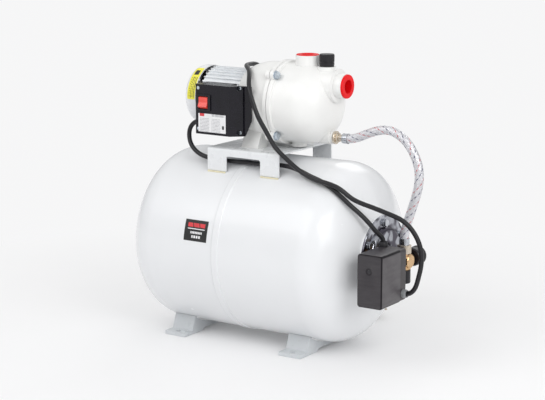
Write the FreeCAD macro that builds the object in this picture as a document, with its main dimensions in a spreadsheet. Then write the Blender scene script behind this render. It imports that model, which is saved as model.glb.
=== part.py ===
import FreeCAD, Part
import Sketcher
import math
import os

# Home water set: a horizontal steel pressure tank on two pressed feet, a
# self-priming jet pump with its motor on a sheet-steel platform, a braided
# hose, a five-way brass fitting, a gauge and a pressure switch.
# Millimetres.  +X runs along the tank towards its flange, +Z is up, -Y is the
# side with the rocker switch.  Origin: on the floor, under the tank's seam.

V = FreeCAD.Vector
doc = FreeCAD.newDocument("WaterSet")

# Names with _x, _y or _z, and the left/right and front/back faces, are places
# in the frame above.  The front and back faces are distances towards -Y.
# On the pump, port and bolt heights are measured from the pump axis.
DIMENSIONS = dict(
    # tank shells, seam and the neck at the +X end
    tank_radius=180, tank_axis_z=194, tank_left=264, tank_right=284, shell_wall=2,
    head_knuckle=70, head_crown=260, seam_lap=6, seam_rise=1.8,
    neck_bore=44, neck_rim=84, neck_face=273, valve_bore=4.1,
    # tank feet
    foot_pitch=278, foot_width=50, foot_reach=125, foot_lip=8, foot_lip_depth=26,
    foot_sheet=3, foot_hole=5, foot_hole_y=112,
    # pump platform
    plat_centre=12, plat_length=170, plat_half=98, plat_top=393.5, plat_sheet=3,
    plat_bend=5, plat_leg_foot=347.4, plat_open_left=-28, plat_open_right=53,
    plat_open_top=378, mount_bolt_x=8, mount_bolt_y=47,
    # pump body and its ports
    pump_axis_z=482, pump_body_radius=78.6, pump_flange_radius=84, joint_face=56,
    body_face=57.2, pump_flange_edge=65, pump_end=165, pump_end_round=58, pump_wall=6.6,
    port_bore=15.15, port_boss=24, suction_face=189, suction_z=40, suction_collar=33,
    top_port_x=100, top_port_z=96,
    filler_x=144, filler_boss=18, filler_top=76, filler_bore=10.05,
    outlet_z=-62, outlet_boss=11.5, outlet_face=164, outlet_bore=8.1,
    drain_x=81, drain_bore=5.05, bolt_ring_y=61, bolt_ring_z=60, ear_radius=10,
    # motor bracket
    ring_left=-26, ring_radius=66, seal_bore=17,
    foot_x_left=-12, foot_x_right=27, cast_foot_half=68,
    # shaft, rotor, stator and bearings
    shaft_radius=7.5, shaft_tail=-153, shaft_nose=74, rotor_radius=29.5,
    stator_bore=30, stator_radius=52, stator_left=-104, stator_right=-44,
    shell_inner=52.1, shell_outer=56.5, shell_right=-26.2, shell_left=-120,
    fin_height=3.5, fin_width=2.2, fin_count=40,
    bearing_outer=17.5, bearing_width=11, rear_bearing_x=-131, front_bearing_x=22.6,
    # rear shield, fan cover, fan and impeller
    shield_left=-134, cover_left=-164, cover_right=-129, cover_radius=61,
    cover_wall=1.6, cover_round=22, fan_radius=50,
    impeller_radius=57, impeller_left=60, impeller_right=75,
    # terminal box and rocker
    box_left=-98, box_right=5, box_panel_right=-15, box_front=104, box_shelf=86,
    box_back=60.4, box_split=83, box_wing=22, box_wing_back=80,
    box_bottom=419, box_top=518, box_wall=2.2,
    rocker_x=-77, rocker_z=482, bezel_width=34, bezel_height=32,
    rocker_width=21, rocker_height=24,
    # five-way fitting and tank flange
    fitting_x=322, fitting_radius=14, fitting_bore=9,
    flange_radius=84, flange_hub=61, flange_plate=3.6, flange_bolt_ring=69,
    # pressure switch
    switch_left=295, switch_right=349, switch_front=133, switch_split=62,
    switch_screw_x=321, switch_screw_z=198, switch_base_back=40,
    switch_gland_x=304, switch_gland_y=50, switch_gland_z=143,
    switch_bottom=127, switch_top=230, switch_wall=2.2,
    # gauge, hose and cables
    gauge_y=30, gauge_depth=26, gauge_radius=19,
    hose_radius=8.8, hose_bore=5.5, cable_radius=4.6,
)
sheet = doc.addObject("Spreadsheet::Sheet", "Dims")
for row, (alias, number) in enumerate(DIMENSIONS.items(), 1):
    sheet.set("A%d" % row, alias)
    sheet.set("B%d" % row, str(number))
    sheet.setAlias("B%d" % row, alias)
doc.recompute()


# ------------------------------------------------------ sizes with formulas
class Size:
    """A number together with the sheet expression it comes from."""

    def __init__(self, value, formula=None):
        self.value = float(value)
        self.formula = formula or ("%.6f" if value >= 0 else "(%.6f)") % value

    def bound(self):
        return "Dims." in self.formula

    def __add__(self, other):
        return combine(self, "+", other, float.__add__)

    def __sub__(self, other):
        return combine(self, "-", other, float.__sub__)

    def __mul__(self, other):
        return combine(self, "*", other, float.__mul__)

    def __truediv__(self, other):
        return combine(self, "/", other, float.__truediv__)

    def __neg__(self):
        return Size(-self.value, "(0 - %s)" % self.formula)

    def __rsub__(self, other):
        return size(other) - self

    __radd__ = __add__
    __rmul__ = __mul__


def size(number):
    return number if isinstance(number, Size) else Size(number)


def combine(left, sign, right, operation):
    right = size(right)
    return Size(operation(left.value, right.value),
                "(%s %s %s)" % (left.formula, sign, right.formula))


def square_root(number):
    return Size(math.sqrt(number.value), "sqrt(%s)" % number.formula)


class Dimensions:
    def __getattr__(self, alias):
        return Size(DIMENSIONS[alias], "Dims." + alias)


dims = Dimensions()


def bind(obj, path, number):
    if size(number).bound():
        obj.setExpression(path, number.formula)


def assign(obj, name, number):
    setattr(obj, name, size(number).value)
    bind(obj, name, number)


def place(obj, x=0, y=0, z=0, rotation=None):
    base = V(size(x).value, size(y).value, size(z).value)
    obj.Placement = FreeCAD.Placement(base, rotation or FreeCAD.Rotation())
    for axis, number in (("x", x), ("y", y), ("z", z)):
        bind(obj, "Placement.Base." + axis, number)
    return obj


# Rotations that turn local +Z to +X and to -Y
TO_X = FreeCAD.Rotation(V(0, 1, 0), 90)
TO_YN = FreeCAD.Rotation(V(1, 0, 0), 90)


# ---------------------------------------------------------------- profiles
# A profile is a disc() or a closed list of points.  A point is (x, y), or
# (x, y, centre x, centre y, "ccw" or "cw") when an arc leads to the next one.
def disc(x, y, radius):
    return x, y, radius


def rectangle(x0, y0, x1, y1, corner=None):
    if corner is None:
        return [(x0, y0), (x1, y0), (x1, y1), (x0, y1)]
    left, right = x0 + corner, x1 - corner
    low, high = y0 + corner, y1 - corner
    return [(left, y0), (right, y0, right, low, "ccw"), (x1, low),
            (x1, high, right, high, "ccw"), (right, y1), (left, y1, left, high, "ccw"),
            (x0, high), (x0, low, left, low, "ccw")]


def ring_points(radius, count, start=0):
    """Evenly spaced points on a circle, the first at start degrees."""
    angles = [math.radians(360 * i / count + start) for i in range(count)]
    return [(radius * math.cos(angle), radius * math.sin(angle)) for angle in angles]


def pin(geometry, point, axis, number):
    """Constraint that holds one coordinate of a point, and its driving size."""
    number = size(number)
    if abs(number.value) < 1e-9 and not number.bound():
        other_axis = -2 if axis == "X" else -1
        return Sketcher.Constraint("PointOnObject", geometry, point, other_axis), None
    return (Sketcher.Constraint("Distance" + axis, -1, 1, geometry, point, number.value),
            number)


def constrain(sketch, pairs):
    """Add (constraint, driving size or None) pairs and bind the driven ones."""
    first = sketch.ConstraintCount
    sketch.addConstraint([constraint for constraint, _ in pairs])
    for i, (_, number) in enumerate(pairs):
        if number is not None:
            bind(sketch, "Constraints[%d]" % (first + i), number)


def draw_disc(sketch, x, y, radius):
    x, y, radius = size(x), size(y), size(radius)
    index = sketch.GeometryCount
    sketch.addGeometry(Part.Circle(V(x.value, y.value, 0), V(0, 0, 1), radius.value), False)
    constrain(sketch, [pin(index, 3, "X", x), pin(index, 3, "Y", y),
                       (Sketcher.Constraint("Radius", index, radius.value), radius)])


def draw_outline(sketch, points):
    count = len(points)
    base = sketch.GeometryCount
    flat = [[size(number).value for number in point[:4]] for point in points]
    geometry, ends, centres = [], [], []
    for i, point in enumerate(points):
        following = flat[(i + 1) % count]
        x0, y0 = flat[i][:2]
        x1, y1 = following[:2]
        if len(point) == 2:
            geometry.append(Part.LineSegment(V(x0, y0, 0), V(x1, y1, 0)))
            ends.append((1, 2))
            continue
        centre_x, centre_y = flat[i][2:]
        radius = math.hypot(x0 - centre_x, y0 - centre_y)
        start = math.atan2(y0 - centre_y, x0 - centre_x)
        stop = math.atan2(y1 - centre_y, x1 - centre_x)
        if point[4] == "cw":
            start, stop = stop, start
            ends.append((2, 1))
        else:
            ends.append((1, 2))
        if stop < start:
            stop += 2 * math.pi
        full = Part.Circle(V(centre_x, centre_y, 0), V(0, 0, 1), radius)
        geometry.append(Part.ArcOfCircle(full, start, stop))
        # With both ends held, one coordinate of the centre is enough.
        if abs(y1 - y0) > abs(x1 - x0):
            centres.append(pin(base + i, 3, "X", point[2]))
        else:
            centres.append(pin(base + i, 3, "Y", point[3]))
    sketch.addGeometry(geometry, False)
    pairs = []
    for i in range(count):
        j = (i + 1) % count
        pairs.append((Sketcher.Constraint("Coincident", base + i, ends[i][1],
                                          base + j, ends[j][0]), None))
    for i, point in enumerate(points):
        pairs.append(pin(base + i, ends[i][0], "X", point[0]))
        pairs.append(pin(base + i, ends[i][0], "Y", point[1]))
    constrain(sketch, pairs + centres)


# ------------------------------------------------------------------ bodies
PIECES = []


def keep(obj):
    PIECES.append(obj)


class Body:
    """A PartDesign body with short calls for its sketches and features.

    Sketch axes: YZ is (y, z) facing +X, XY is (x, y) facing +Z and XZ is
    (x, z) facing -Y, so an offset on XZ counts towards -Y."""

    def __init__(self, label, x=0, y=0, z=0, rotation=None, piece=True):
        self.label = label
        self.steps = 0
        self.body = doc.addObject("PartDesign::Body", label + "_body")
        self.body.Label = label
        place(self.body, x, y, z, rotation)
        if piece:
            keep(self.body)

    def origin(self, role):
        return next(o for o in self.body.Origin.OriginFeatures if o.Role == role)

    def sketch(self, plane, offset, profile):
        self.steps += 1
        name = "%s_s%d" % (self.label, self.steps)
        sketch = self.body.newObject("Sketcher::SketchObject", name)
        sketch.AttachmentSupport = (self.origin(plane + "_Plane"), [""])
        sketch.MapMode = "FlatFace"
        base = V(0, 0, size(offset).value)
        sketch.AttachmentOffset = FreeCAD.Placement(base, FreeCAD.Rotation())
        bind(sketch, "AttachmentOffset.Base.z", offset)
        if isinstance(profile, tuple):
            draw_disc(sketch, *profile)
        else:
            draw_outline(sketch, profile)
        return sketch

    def feature(self, kind, sketch):
        name = "%s_f%d" % (self.label, self.steps)
        feature = self.body.newObject("PartDesign::" + kind, name)
        feature.Profile = sketch
        sketch.Visibility = False
        return feature

    def spin(self, points, axis, kind):
        sketch = self.sketch("XZ", 0, points)
        feature = self.feature(kind, sketch)
        feature.ReferenceAxis = (sketch, [axis])
        feature.Angle = 360

    def spin_x(self, points, cut=False):
        """Revolve (x, radius) points about the body's X axis."""
        self.spin(points, "H_Axis", "Groove" if cut else "Revolution")

    def spin_z(self, points):
        """Revolve (radius, z) points about the body's Z axis."""
        self.spin(points, "V_Axis", "Revolution")

    def extrude(self, kind, plane, offset, profile, length, midplane, flipped):
        feature = self.feature(kind, self.sketch(plane, offset, profile))
        assign(feature, "Length", length)
        if midplane:
            feature.Midplane = True
        feature.Reversed = flipped
        return feature

    def pad(self, plane, offset, profile, length, midplane=False):
        return self.extrude("Pad", plane, offset, profile, length, midplane, False)

    def cut(self, plane, offset, profile, length, midplane=False, back=False):
        """Pocket along the way the plane faces, or against it with back."""
        return self.extrude("Pocket", plane, offset, profile, length, midplane, not back)

    def polar(self, feature, axis, count):
        name = "%s_p%d" % (self.label, self.steps)
        pattern = self.body.newObject("PartDesign::PolarPattern", name)
        pattern.Originals = [feature]
        pattern.Axis = (self.origin(axis + "_Axis"), [""])
        pattern.Angle = 360
        pattern.Occurrences = int(size(count).value)
        bind(pattern, "Occurrences", count)
        self.body.Tip = pattern


def on_tank_axis(label):
    return Body(label, 0, 0, dims.tank_axis_z)


def on_pump_axis(label, piece=True):
    return Body(label, 0, 0, dims.pump_axis_z, piece=piece)


# -------------------------------------------------------------- primitives
def cylinder(name, radius, height, x=0, y=0, z=0, rotation=None):
    obj = doc.addObject("Part::Cylinder", name)
    assign(obj, "Radius", radius)
    assign(obj, "Height", height)
    return place(obj, x, y, z, rotation)


def hex_prism(name, radius, height, x=0, y=0, z=0, rotation=None):
    obj = doc.addObject("Part::Prism", name)
    obj.Polygon = 6
    assign(obj, "Circumradius", radius)
    assign(obj, "Height", height)
    return place(obj, x, y, z, rotation)


def fuse(name, items):
    obj = doc.addObject("Part::MultiFuse", name)
    obj.Shapes = items
    return obj


def subtract(name, base, tool):
    obj = doc.addObject("Part::Cut", name)
    obj.Base = base
    obj.Tool = tool
    return obj


def group(name, items):
    obj = doc.addObject("Part::Compound", name)
    obj.Links = items
    return obj


def tube(name, outer, inner, height, x=0, y=0, z=0, rotation=None):
    return subtract(name, cylinder(name + "_o", outer, height, x, y, z, rotation),
                    cylinder(name + "_i", inner, height, x, y, z, rotation))


# All hex bolts share these sizes; the head sinks 0.1 into its washer.
BOLT_RADIUS = 4
BOLT_HEAD_RADIUS = 7.5
BOLT_HEAD_HEIGHT = 5.3
WASHER_THICKNESS = 1.4


def hex_bolt(name, x, y, z, rotation, length, washer):
    """Bolt seated at (x, y, z) with its shank below the seat; rotation turns
    +Z to the head side."""
    direction = rotation.multVec(V(0, 0, 1))

    def along(distance):
        return [size(start) + size(distance) * part if abs(part) > .5 else start
                for start, part in zip((x, y, z), direction)]
    return fuse(name, [
        cylinder(name + "_shank", BOLT_RADIUS, length + 1, *along(-length), rotation),
        cylinder(name + "_washer", washer, WASHER_THICKNESS, *along(0), rotation),
        hex_prism(name + "_head", BOLT_HEAD_RADIUS, BOLT_HEAD_HEIGHT,
                  *along(WASHER_THICKNESS - 0.1), rotation)])


def screw(name, x, z, head, shank):
    """Round-head screw facing -Y; head and shank are (radius, length, inner y)."""
    return fuse(name, [
        cylinder(name + part, radius, length, x, y, z, TO_YN)
        for part, (radius, length, y) in (("_head", head), ("_shank", shank))])


def curve(name, points, radius, bore=None, start=(1, 0, 0), end=(1, 0, 0)):
    """Round rod or tube along a smooth line through (x, y, z) points, with
    its direction given at the start and the end."""
    points = [V(*[size(number).value for number in point]) for point in points]
    lengths = [0.0]
    for here, there in zip(points, points[1:]):
        lengths.append(lengths[-1] + (there - here).Length)
    spline = Part.BSplineCurve()
    spline.interpolate(Points=points, Parameters=lengths, InitialTangent=V(*start),
                       FinalTangent=V(*end), Scale=False)
    wire = Part.Wire([spline.toShape()])
    tangent = spline.tangent(spline.FirstParameter)[0]

    def sweep(ring_radius):
        ring = Part.Wire([Part.makeCircle(size(ring_radius).value, points[0], tangent)])
        return wire.makePipeShell([ring], True, False)
    shape = sweep(radius)
    if bore is not None:
        shape = shape.cut(sweep(bore))
    obj = doc.addObject("Part::Feature", name)
    obj.Shape = shape
    return obj


# ------------------------------------------------------------- tank shells
# Each shell ends in a torispherical head: a knuckle arc that runs tangent
# into a crown arc centred on the tank axis.
tank_radius, wall = dims.tank_radius, dims.shell_wall
crown = dims.head_crown
inner_crown = crown - wall
knuckle_y = tank_radius - dims.head_knuckle
centre_gap = crown - dims.head_knuckle
centre_gap_x = square_root(centre_gap * centre_gap - knuckle_y * knuckle_y)
head_depth = crown - centre_gap_x


class DishedHead:
    """Head that starts at x = start and bulges towards side (-1 or 1)."""

    def __init__(self, start, side):
        self.side = side
        self.centre = start - side * centre_gap_x

    def joint(self, radius):
        """Point where a crown arc of this radius meets its knuckle."""
        return (self.centre + self.side * (centre_gap_x / centre_gap) * radius,
                (knuckle_y / centre_gap) * radius)

    def crown_x(self, radius, y):
        return self.centre + self.side * square_root(radius * radius - y * y)


left_start = -(dims.tank_left - head_depth)
left_head = DishedHead(left_start, -1)
valve_bore = dims.valve_bore
tank_left = on_tank_axis("tank_shell_left")
tank_left.spin_x([
    (2, tank_radius), (left_start, tank_radius, left_start, knuckle_y, "ccw"),
    (*left_head.joint(crown), left_head.centre, 0, "ccw"),
    (left_head.crown_x(crown, valve_bore), valve_bore),
    (left_head.crown_x(inner_crown, valve_bore), valve_bore, left_head.centre, 0, "cw"),
    (*left_head.joint(inner_crown), left_start, knuckle_y, "cw"),
    (left_start, tank_radius - wall), (2, tank_radius - wall)])

# Flange holes as (y, z) from the tank axis, the first straight up
FLANGE_HOLES = [(y, z) for z, y in ring_points(dims.flange_bolt_ring, 6)]

right_start = dims.tank_right - head_depth
right_head = DishedHead(right_start, 1)
neck_face, neck_rim, lap = dims.neck_face, dims.neck_rim, dims.seam_lap
neck_inner = neck_face - 12
neck_reach = neck_inner - right_head.centre
neck_inner_radius = square_root(inner_crown * inner_crown - neck_reach * neck_reach)
seam_radius = tank_radius + dims.seam_rise
tank_right = on_tank_axis("tank_shell_right")
tank_right.spin_x([
    (-lap, tank_radius + 0.1), (2.3, tank_radius + 0.1), (2.3, tank_radius - wall),
    (right_start, tank_radius - wall, right_start, knuckle_y, "cw"),
    (*right_head.joint(inner_crown), right_head.centre, 0, "cw"),
    (neck_inner, neck_inner_radius), (neck_inner, dims.neck_bore),
    (neck_face, dims.neck_bore), (neck_face, neck_rim),
    (right_head.crown_x(crown, neck_rim), neck_rim, right_head.centre, 0, "ccw"),
    (*right_head.joint(crown), right_start, knuckle_y, "ccw"),
    (right_start, tank_radius), (lap + 1.5, tank_radius),
    (lap, seam_radius), (-lap, seam_radius)])
for y, z in FLANGE_HOLES:
    tank_right.cut("YZ", neck_face, disc(y, z, 4.05), 9, back=True)


# -------------------------------------------------------------------- feet
def tank_foot(label, side):
    """Pressed foot: a sheet saddle with lips, closed by a web at either end."""
    foot = Body(label, side * dims.foot_pitch / 2, 0, 0)
    reach, lip, depth = dims.foot_reach, dims.foot_lip, dims.foot_lip_depth
    metal, tank_z = dims.foot_sheet, dims.tank_axis_z
    upper_y, lower_y = 88, 86
    upper_radius = dims.tank_radius + 0.2
    lower_radius = upper_radius + metal
    upper_z = tank_z - square_root(upper_radius * upper_radius - upper_y * upper_y)
    lower_z = tank_z - square_root(lower_radius * lower_radius - lower_y * lower_y)
    top = [(-reach, 0), (-reach, lip), (-reach + depth, lip),
           (-upper_y, upper_z, 0, tank_z, "ccw"), (upper_y, upper_z),
           (reach - depth, lip), (reach, lip), (reach, 0)]
    foot.pad("YZ", 0, top + [
        (reach - metal, 0), (reach - metal, lip - metal), (reach - depth - 2, lip - metal),
        (lower_y, lower_z, 0, tank_z, "cw"), (-lower_y, lower_z),
        (-reach + depth + 2, lip - metal), (-reach + metal, lip - metal),
        (-reach + metal, 0)], dims.foot_width, midplane=True)
    for end in (-1, 1):
        foot.pad("YZ", end * (dims.foot_width - metal) / 2,
                 top + [(64, 0), (56, 5), (-56, 5), (-64, 0)], metal, midplane=True)
    for end in (-1, 1):
        hole_y = end * dims.foot_hole_y
        foot.pad("XY", 0, disc(0, hole_y, dims.foot_hole + 3.5), lip - metal + 1)
        foot.cut("XY", -1, disc(0, hole_y, dims.foot_hole), lip + 2)


tank_foot("tank_foot_left", -1)
tank_foot("tank_foot_right", 1)

# ---------------------------------------------------------------- platform
platform = Body("pump_platform", dims.plat_centre, 0, 0)
half, metal, bend = dims.plat_half, dims.plat_sheet, dims.plat_bend
plat_top, leg_foot = dims.plat_top, dims.plat_leg_foot
bend_y, bend_z = half - bend, plat_top - bend
platform.pad("YZ", 0, [
    (-half, leg_foot), (-half + metal, leg_foot), (-half + metal, bend_z, -bend_y, bend_z, "cw"),
    (-bend_y, plat_top - metal), (bend_y, plat_top - metal, bend_y, bend_z, "cw"),
    (half - metal, bend_z), (half - metal, leg_foot), (half, leg_foot),
    (half, bend_z, bend_y, bend_z, "ccw"), (bend_y, plat_top),
    (-bend_y, plat_top, -bend_y, bend_z, "ccw"), (-half, bend_z)],
    dims.plat_length, midplane=True)
# Opening through both legs, with its two upper corners rounded
open_left = dims.plat_open_left - dims.plat_centre
open_right = dims.plat_open_right - dims.plat_centre
open_top, corner = dims.plat_open_top, 5
platform.cut("XZ", 0, [
    (open_left, leg_foot - 5), (open_right, leg_foot - 5),
    (open_right, open_top - corner, open_right - corner, open_top - corner, "ccw"),
    (open_right - corner, open_top),
    (open_left + corner, open_top, open_left + corner, open_top - corner, "ccw"),
    (open_left, open_top - corner)], 2 * half + 10, midplane=True)
for side in (-1, 1):
    hole = disc(dims.mount_bolt_x - dims.plat_centre, side * dims.mount_bolt_y, 4.25)
    platform.cut("XY", plat_top - metal - 1, hole, metal + 2)

# ---------------------------------------------------------------- membrane
membrane = on_tank_axis("tank_membrane")
membrane.spin_x([
    (275.5, 40.5), (275.5, 62), (273.05, 62), (273.05, 43.5), (255, 43.5), (240, 70),
    (225, 120), (190, 158), (-150, 158, -150, 70, "ccw"), (-238, 70), (-238, 0), (-235, 0),
    (-235, 70, -150, 70, "cw"), (-150, 155), (188.6, 155), (222, 118.5), (237, 68.5),
    (252.5, 40.5)])

# ------------------------------------------------------- flange, air valve
flange = on_tank_axis("tank_flange")
flange_seat = neck_face + 0.1
flange_outer = flange_seat + dims.flange_plate + 0.3
rim, hub, flange_bore = dims.flange_radius, dims.flange_hub, 16.8
flange.spin_x([
    (flange_seat, rim), (flange_outer - 0.6, rim), (flange_outer, rim - 0.6),
    (flange_outer, hub, flange_outer, hub - 8, "cw"), (flange_outer + 8, hub - 8),
    (flange_outer + 8, 24), (flange_outer + 13, 23), (flange_outer + 13, flange_bore),
    (flange_outer + 4, flange_bore), (flange_outer + 4, hub - 13),
    (flange_seat + 2.5, hub - 6), (flange_seat + 2.5, 62.8), (flange_seat, 62.8)])
for y, z in FLANGE_HOLES:
    flange.cut("YZ", flange_seat - 1, disc(y, z, 4.3), 8)

keep(group("flange_bolts", [
    hex_bolt("flange_bolt_%d" % i, flange_outer, y, dims.tank_axis_z + z, TO_X, 11, 7.8)
    for i, (y, z) in enumerate(FLANGE_HOLES)]))

air_valve = on_tank_axis("air_valve")
air_valve.spin_x([
    (-278, 1.2), (-278, 2.6), (-274, 2.6), (-274, 3.95), (-270, 3.95), (-270, 8),
    (-264.1, 8), (-264.1, 3.95), (-261.7, 3.95), (-261.7, 9), (-259, 9), (-257, 6),
    (-254, 6), (-254, 1.2)])
air_valve_cap = on_tank_axis("air_valve_cap")
air_valve_cap.spin_x([
    (-279.8, 0), (-279.8, 4.2), (-278.8, 5.2), (-270.3, 5.2), (-270.3, 4.0), (-274.1, 4.0),
    (-274.1, 2.7), (-278.4, 2.7), (-278.4, 0)])

# ---------------------------------------------------------- motor bracket
pump_z = dims.pump_axis_z
base_z = plat_top - pump_z
joint, pump_rim = dims.joint_face, dims.pump_flange_radius
ring_left, ring_radius = dims.ring_left, dims.ring_radius
EAR_CENTRES = [(side * dims.bolt_ring_y, level * dims.bolt_ring_z)
               for side in (-1, 1) for level in (-1, 1)]
bracket = on_pump_axis("motor_bracket")
bracket.spin_x([
    (-34, 0), (-34, 52.05), (ring_left, 52.05), (ring_left, ring_radius - 1.5),
    (ring_left + 1.5, ring_radius, 25.04, -27.24, "cw"), (25.04, 79), (joint - 9.5, 79.4),
    (joint - 9.5, pump_rim - 1), (joint - 8.5, pump_rim), (joint, pump_rim), (joint, 0)])
for y, z in EAR_CENTRES:
    bracket.pad("YZ", joint - 9.5, disc(y, z, dims.ear_radius), 9.5)
# Cast feet: a leg on either side, then a thin web at its +X end
foot_left, foot_right, foot_half = dims.foot_x_left, dims.foot_x_right, dims.cast_foot_half
for side in (-1, 1):
    bracket.pad("YZ", foot_left, [
        (side * foot_half, base_z), (side * 33, base_z), (side * 33, base_z + 7),
        (side * (foot_half - 8), base_z + 7), (side * 40, -48), (side * 50, -48)],
        foot_right - foot_left)
    bracket.pad("YZ", foot_right - 3.5, [
        (side * (foot_half - 10), base_z), (side * 33, base_z), (side * 18, -66),
        (side * 38, -50), (side * (foot_half - 22), -62), (side * (foot_half - 11), -78)], 3.5)
bearing_end = dims.front_bearing_x + dims.bearing_width
bracket.spin_x([
    (-35, 0), (-35, 48), (-24, 48), (-18, 59.5), (22, 72.5), (44, 74), (44, 26), (18, 26),
    (18, dims.bearing_outer), (bearing_end, dims.bearing_outer), (bearing_end, 12), (45, 12),
    (45, dims.seal_bore), (joint + 1, dims.seal_bore), (joint + 1, 0)], cut=True)
for side in (-1, 1):
    hole = disc(dims.mount_bolt_x, side * dims.mount_bolt_y, 4.25)
    bracket.cut("XY", base_z - 1, hole, 9)
    for level in (-1, 1):
        hole = disc(side * dims.bolt_ring_y, level * dims.bolt_ring_z, 4.05)
        bracket.cut("YZ", joint - 10.5, hole, 12)

bolts, nuts = [], []
for side in (-1, 1):
    x, y = dims.mount_bolt_x, side * dims.mount_bolt_y
    number = side + 1
    bolts.append(hex_bolt("plat_bolt_%d" % number, x, y, plat_top + 7,
                          FreeCAD.Rotation(), 18, 8.6))
    blank = hex_prism("plat_nut_blank_%d" % number, 7.5, 6, x, y, plat_top - 3 - 6.02)
    hole = cylinder("plat_nut_hole_%d" % number, 4.02, 20, x, y, 380)
    nuts.append(subtract("plat_nut_%d" % number, blank, hole))
keep(group("platform_bolts", bolts + nuts))

# --------------------------------------------------------------- pump body
pump = on_pump_axis("pump_body")
body_face, body_radius, flange_edge = dims.body_face, dims.pump_body_radius, dims.pump_flange_edge
pump_end, pump_wall = dims.pump_end, dims.pump_wall
round_x = pump_end - dims.pump_end_round
round_y = body_radius - dims.pump_end_round
pump.spin_x([
    (body_face, 0), (body_face, pump_rim), (flange_edge - 1, pump_rim),
    (flange_edge, pump_rim - 1),
    (flange_edge, body_radius + 1.6, flange_edge + 1.6, body_radius + 1.6, "ccw"),
    (flange_edge + 1.6, body_radius), (round_x, body_radius, round_x, round_y, "cw"),
    (pump_end, round_y), (pump_end, 0)])
for y, z in EAR_CENTRES:
    pump.pad("YZ", body_face, disc(y, z, dims.ear_radius), flange_edge - body_face)
# Bosses: suction, suction collar, top port, filler, outlet and drain
suction_face, suction_z, outlet_z = dims.suction_face, dims.suction_z, dims.outlet_z
top_port_x, top_port_z = dims.top_port_x, dims.top_port_z
filler_x, filler_top = dims.filler_x, dims.filler_top
outlet_face, drain_x = dims.outlet_face, dims.drain_x
pump.pad("YZ", 145, disc(0, suction_z, dims.port_boss), suction_face - 145)
pump.pad("YZ", 126, disc(0, suction_z, dims.suction_collar), 172 - 126)
pump.pad("XY", 60, disc(top_port_x, 0, dims.port_boss), top_port_z - 60)
pump.pad("XY", 30, disc(filler_x, 0, dims.filler_boss), filler_top - 30)
pump.pad("YZ", 132, disc(0, outlet_z, dims.outlet_boss + 2.5), outlet_face - 6 - 132)
pump.pad("YZ", 132, disc(0, outlet_z, dims.outlet_boss), outlet_face - 132)
pump.pad("XY", -86.5, disc(drain_x, 0, 15), 20)
# Inside of the body, then the bores in the same order, the drain with a counterbore
pump.spin_x([
    (body_face - 1, 0), (body_face - 1, body_radius - pump_wall),
    (round_x, body_radius - pump_wall, round_x, round_y, "cw"),
    (pump_end - pump_wall, round_y), (pump_end - pump_wall, 0)], cut=True)
pump.cut("YZ", 130, disc(0, suction_z, dims.port_bore), suction_face - 130 + 1)
pump.cut("XY", 60, disc(top_port_x, 0, dims.port_bore), top_port_z - 60 + 1)
pump.cut("XY", 25, disc(filler_x, 0, dims.filler_bore), filler_top - 25 + 1)
pump.cut("YZ", 128, disc(0, outlet_z, dims.outlet_bore), outlet_face - 128 + 1)
pump.cut("XY", -88, disc(drain_x, 0, dims.drain_bore), 26)
pump.cut("XY", -88, disc(drain_x, 0, 9.2), 5)
# Each ear gets its hole and clear space for the bolt head
for y, z in EAR_CENTRES:
    pump.cut("YZ", body_face - 1, disc(y, z, 4.2), flange_edge - body_face + 3)
    pump.cut("YZ", flange_edge, disc(y, z, dims.ear_radius - 0.2), 14)

keep(group("pump_body_bolts", [
    hex_bolt("body_bolt_%d" % i, flange_edge, y, pump_z + z, TO_X, 17, 8.8)
    for i, (y, z) in enumerate(EAR_CENTRES)]))

keep(tube("pump_gasket", 80.5, 69, body_face - joint, joint, 0, pump_z, TO_X))

drain_plug = Body("drain_plug", drain_x, 0, pump_z)
drain_plug.spin_z([(0, -87), (8.8, -87), (8.8, -83.1), (5, -83.1), (5, -74), (4.4, -73),
                   (0, -73)])
drain_plug.cut("XY", -88, ring_points(3, 6), 5)

# -------------------------------------------------- jet, diffuser, impeller
diffuser = on_pump_axis("diffuser")
diffuser.spin_x([(joint, 60), (joint, 66), (82, 66), (83, 65), (83, 30), (88, 22), (88, 15),
                 (77.5, 15), (77.5, 60)])
for y, z in ring_points(50, 8):
    diffuser.cut("YZ", 76.5, disc(y, z, 5), 8)

ejector = on_pump_axis("ejector")
ejector_end = pump_end - pump_wall - 1
ejector.spin_x([
    (78, 10.5), (78, 14.95), (88.2, 14.95), (88.2, 20), (92, 20), (104, 13), (118, 11),
    (133, 15), (ejector_end, 15), (ejector_end, 13.4), (146, 13.4), (122, 6.5), (112, 6.5),
    (98, 10.5)])


def vane(start_angle, inner=14, outer=55.5, sweep=0.9, half_width=1.3, steps=5):
    """Outline of a swept-back vane from the inner to the outer radius; angles in
    radians."""
    upper, lower = [], []
    for k in range(steps + 1):
        radius = inner + (outer - inner) * k / steps
        angle = start_angle - sweep * (k / steps) ** 1.2
        spread = half_width / radius
        upper.append((radius * math.cos(angle + spread), radius * math.sin(angle + spread)))
        lower.append((radius * math.cos(angle - spread), radius * math.sin(angle - spread)))
    return lower + upper[::-1]


# Hub and -X disc, six vanes, then the +X shroud ring
impeller = on_pump_axis("impeller")
disc_x, shroud_x, impeller_radius = dims.impeller_left, dims.impeller_right, dims.impeller_radius
impeller.spin_x([
    (disc_x, 5), (disc_x, impeller_radius), (disc_x + 2.5, impeller_radius),
    (disc_x + 3.5, 16), (shroud_x, 11), (shroud_x + 1, 0), (shroud_x - 1, 0),
    (shroud_x - 1, 5)])
for i in range(6):
    impeller.pad("YZ", disc_x + 2, vane(math.radians(60 * i)), 12)
impeller.spin_x([(shroud_x - 2.5, 21), (shroud_x - 2.5, impeller_radius),
                 (shroud_x, impeller_radius), (shroud_x, 21)])

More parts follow.
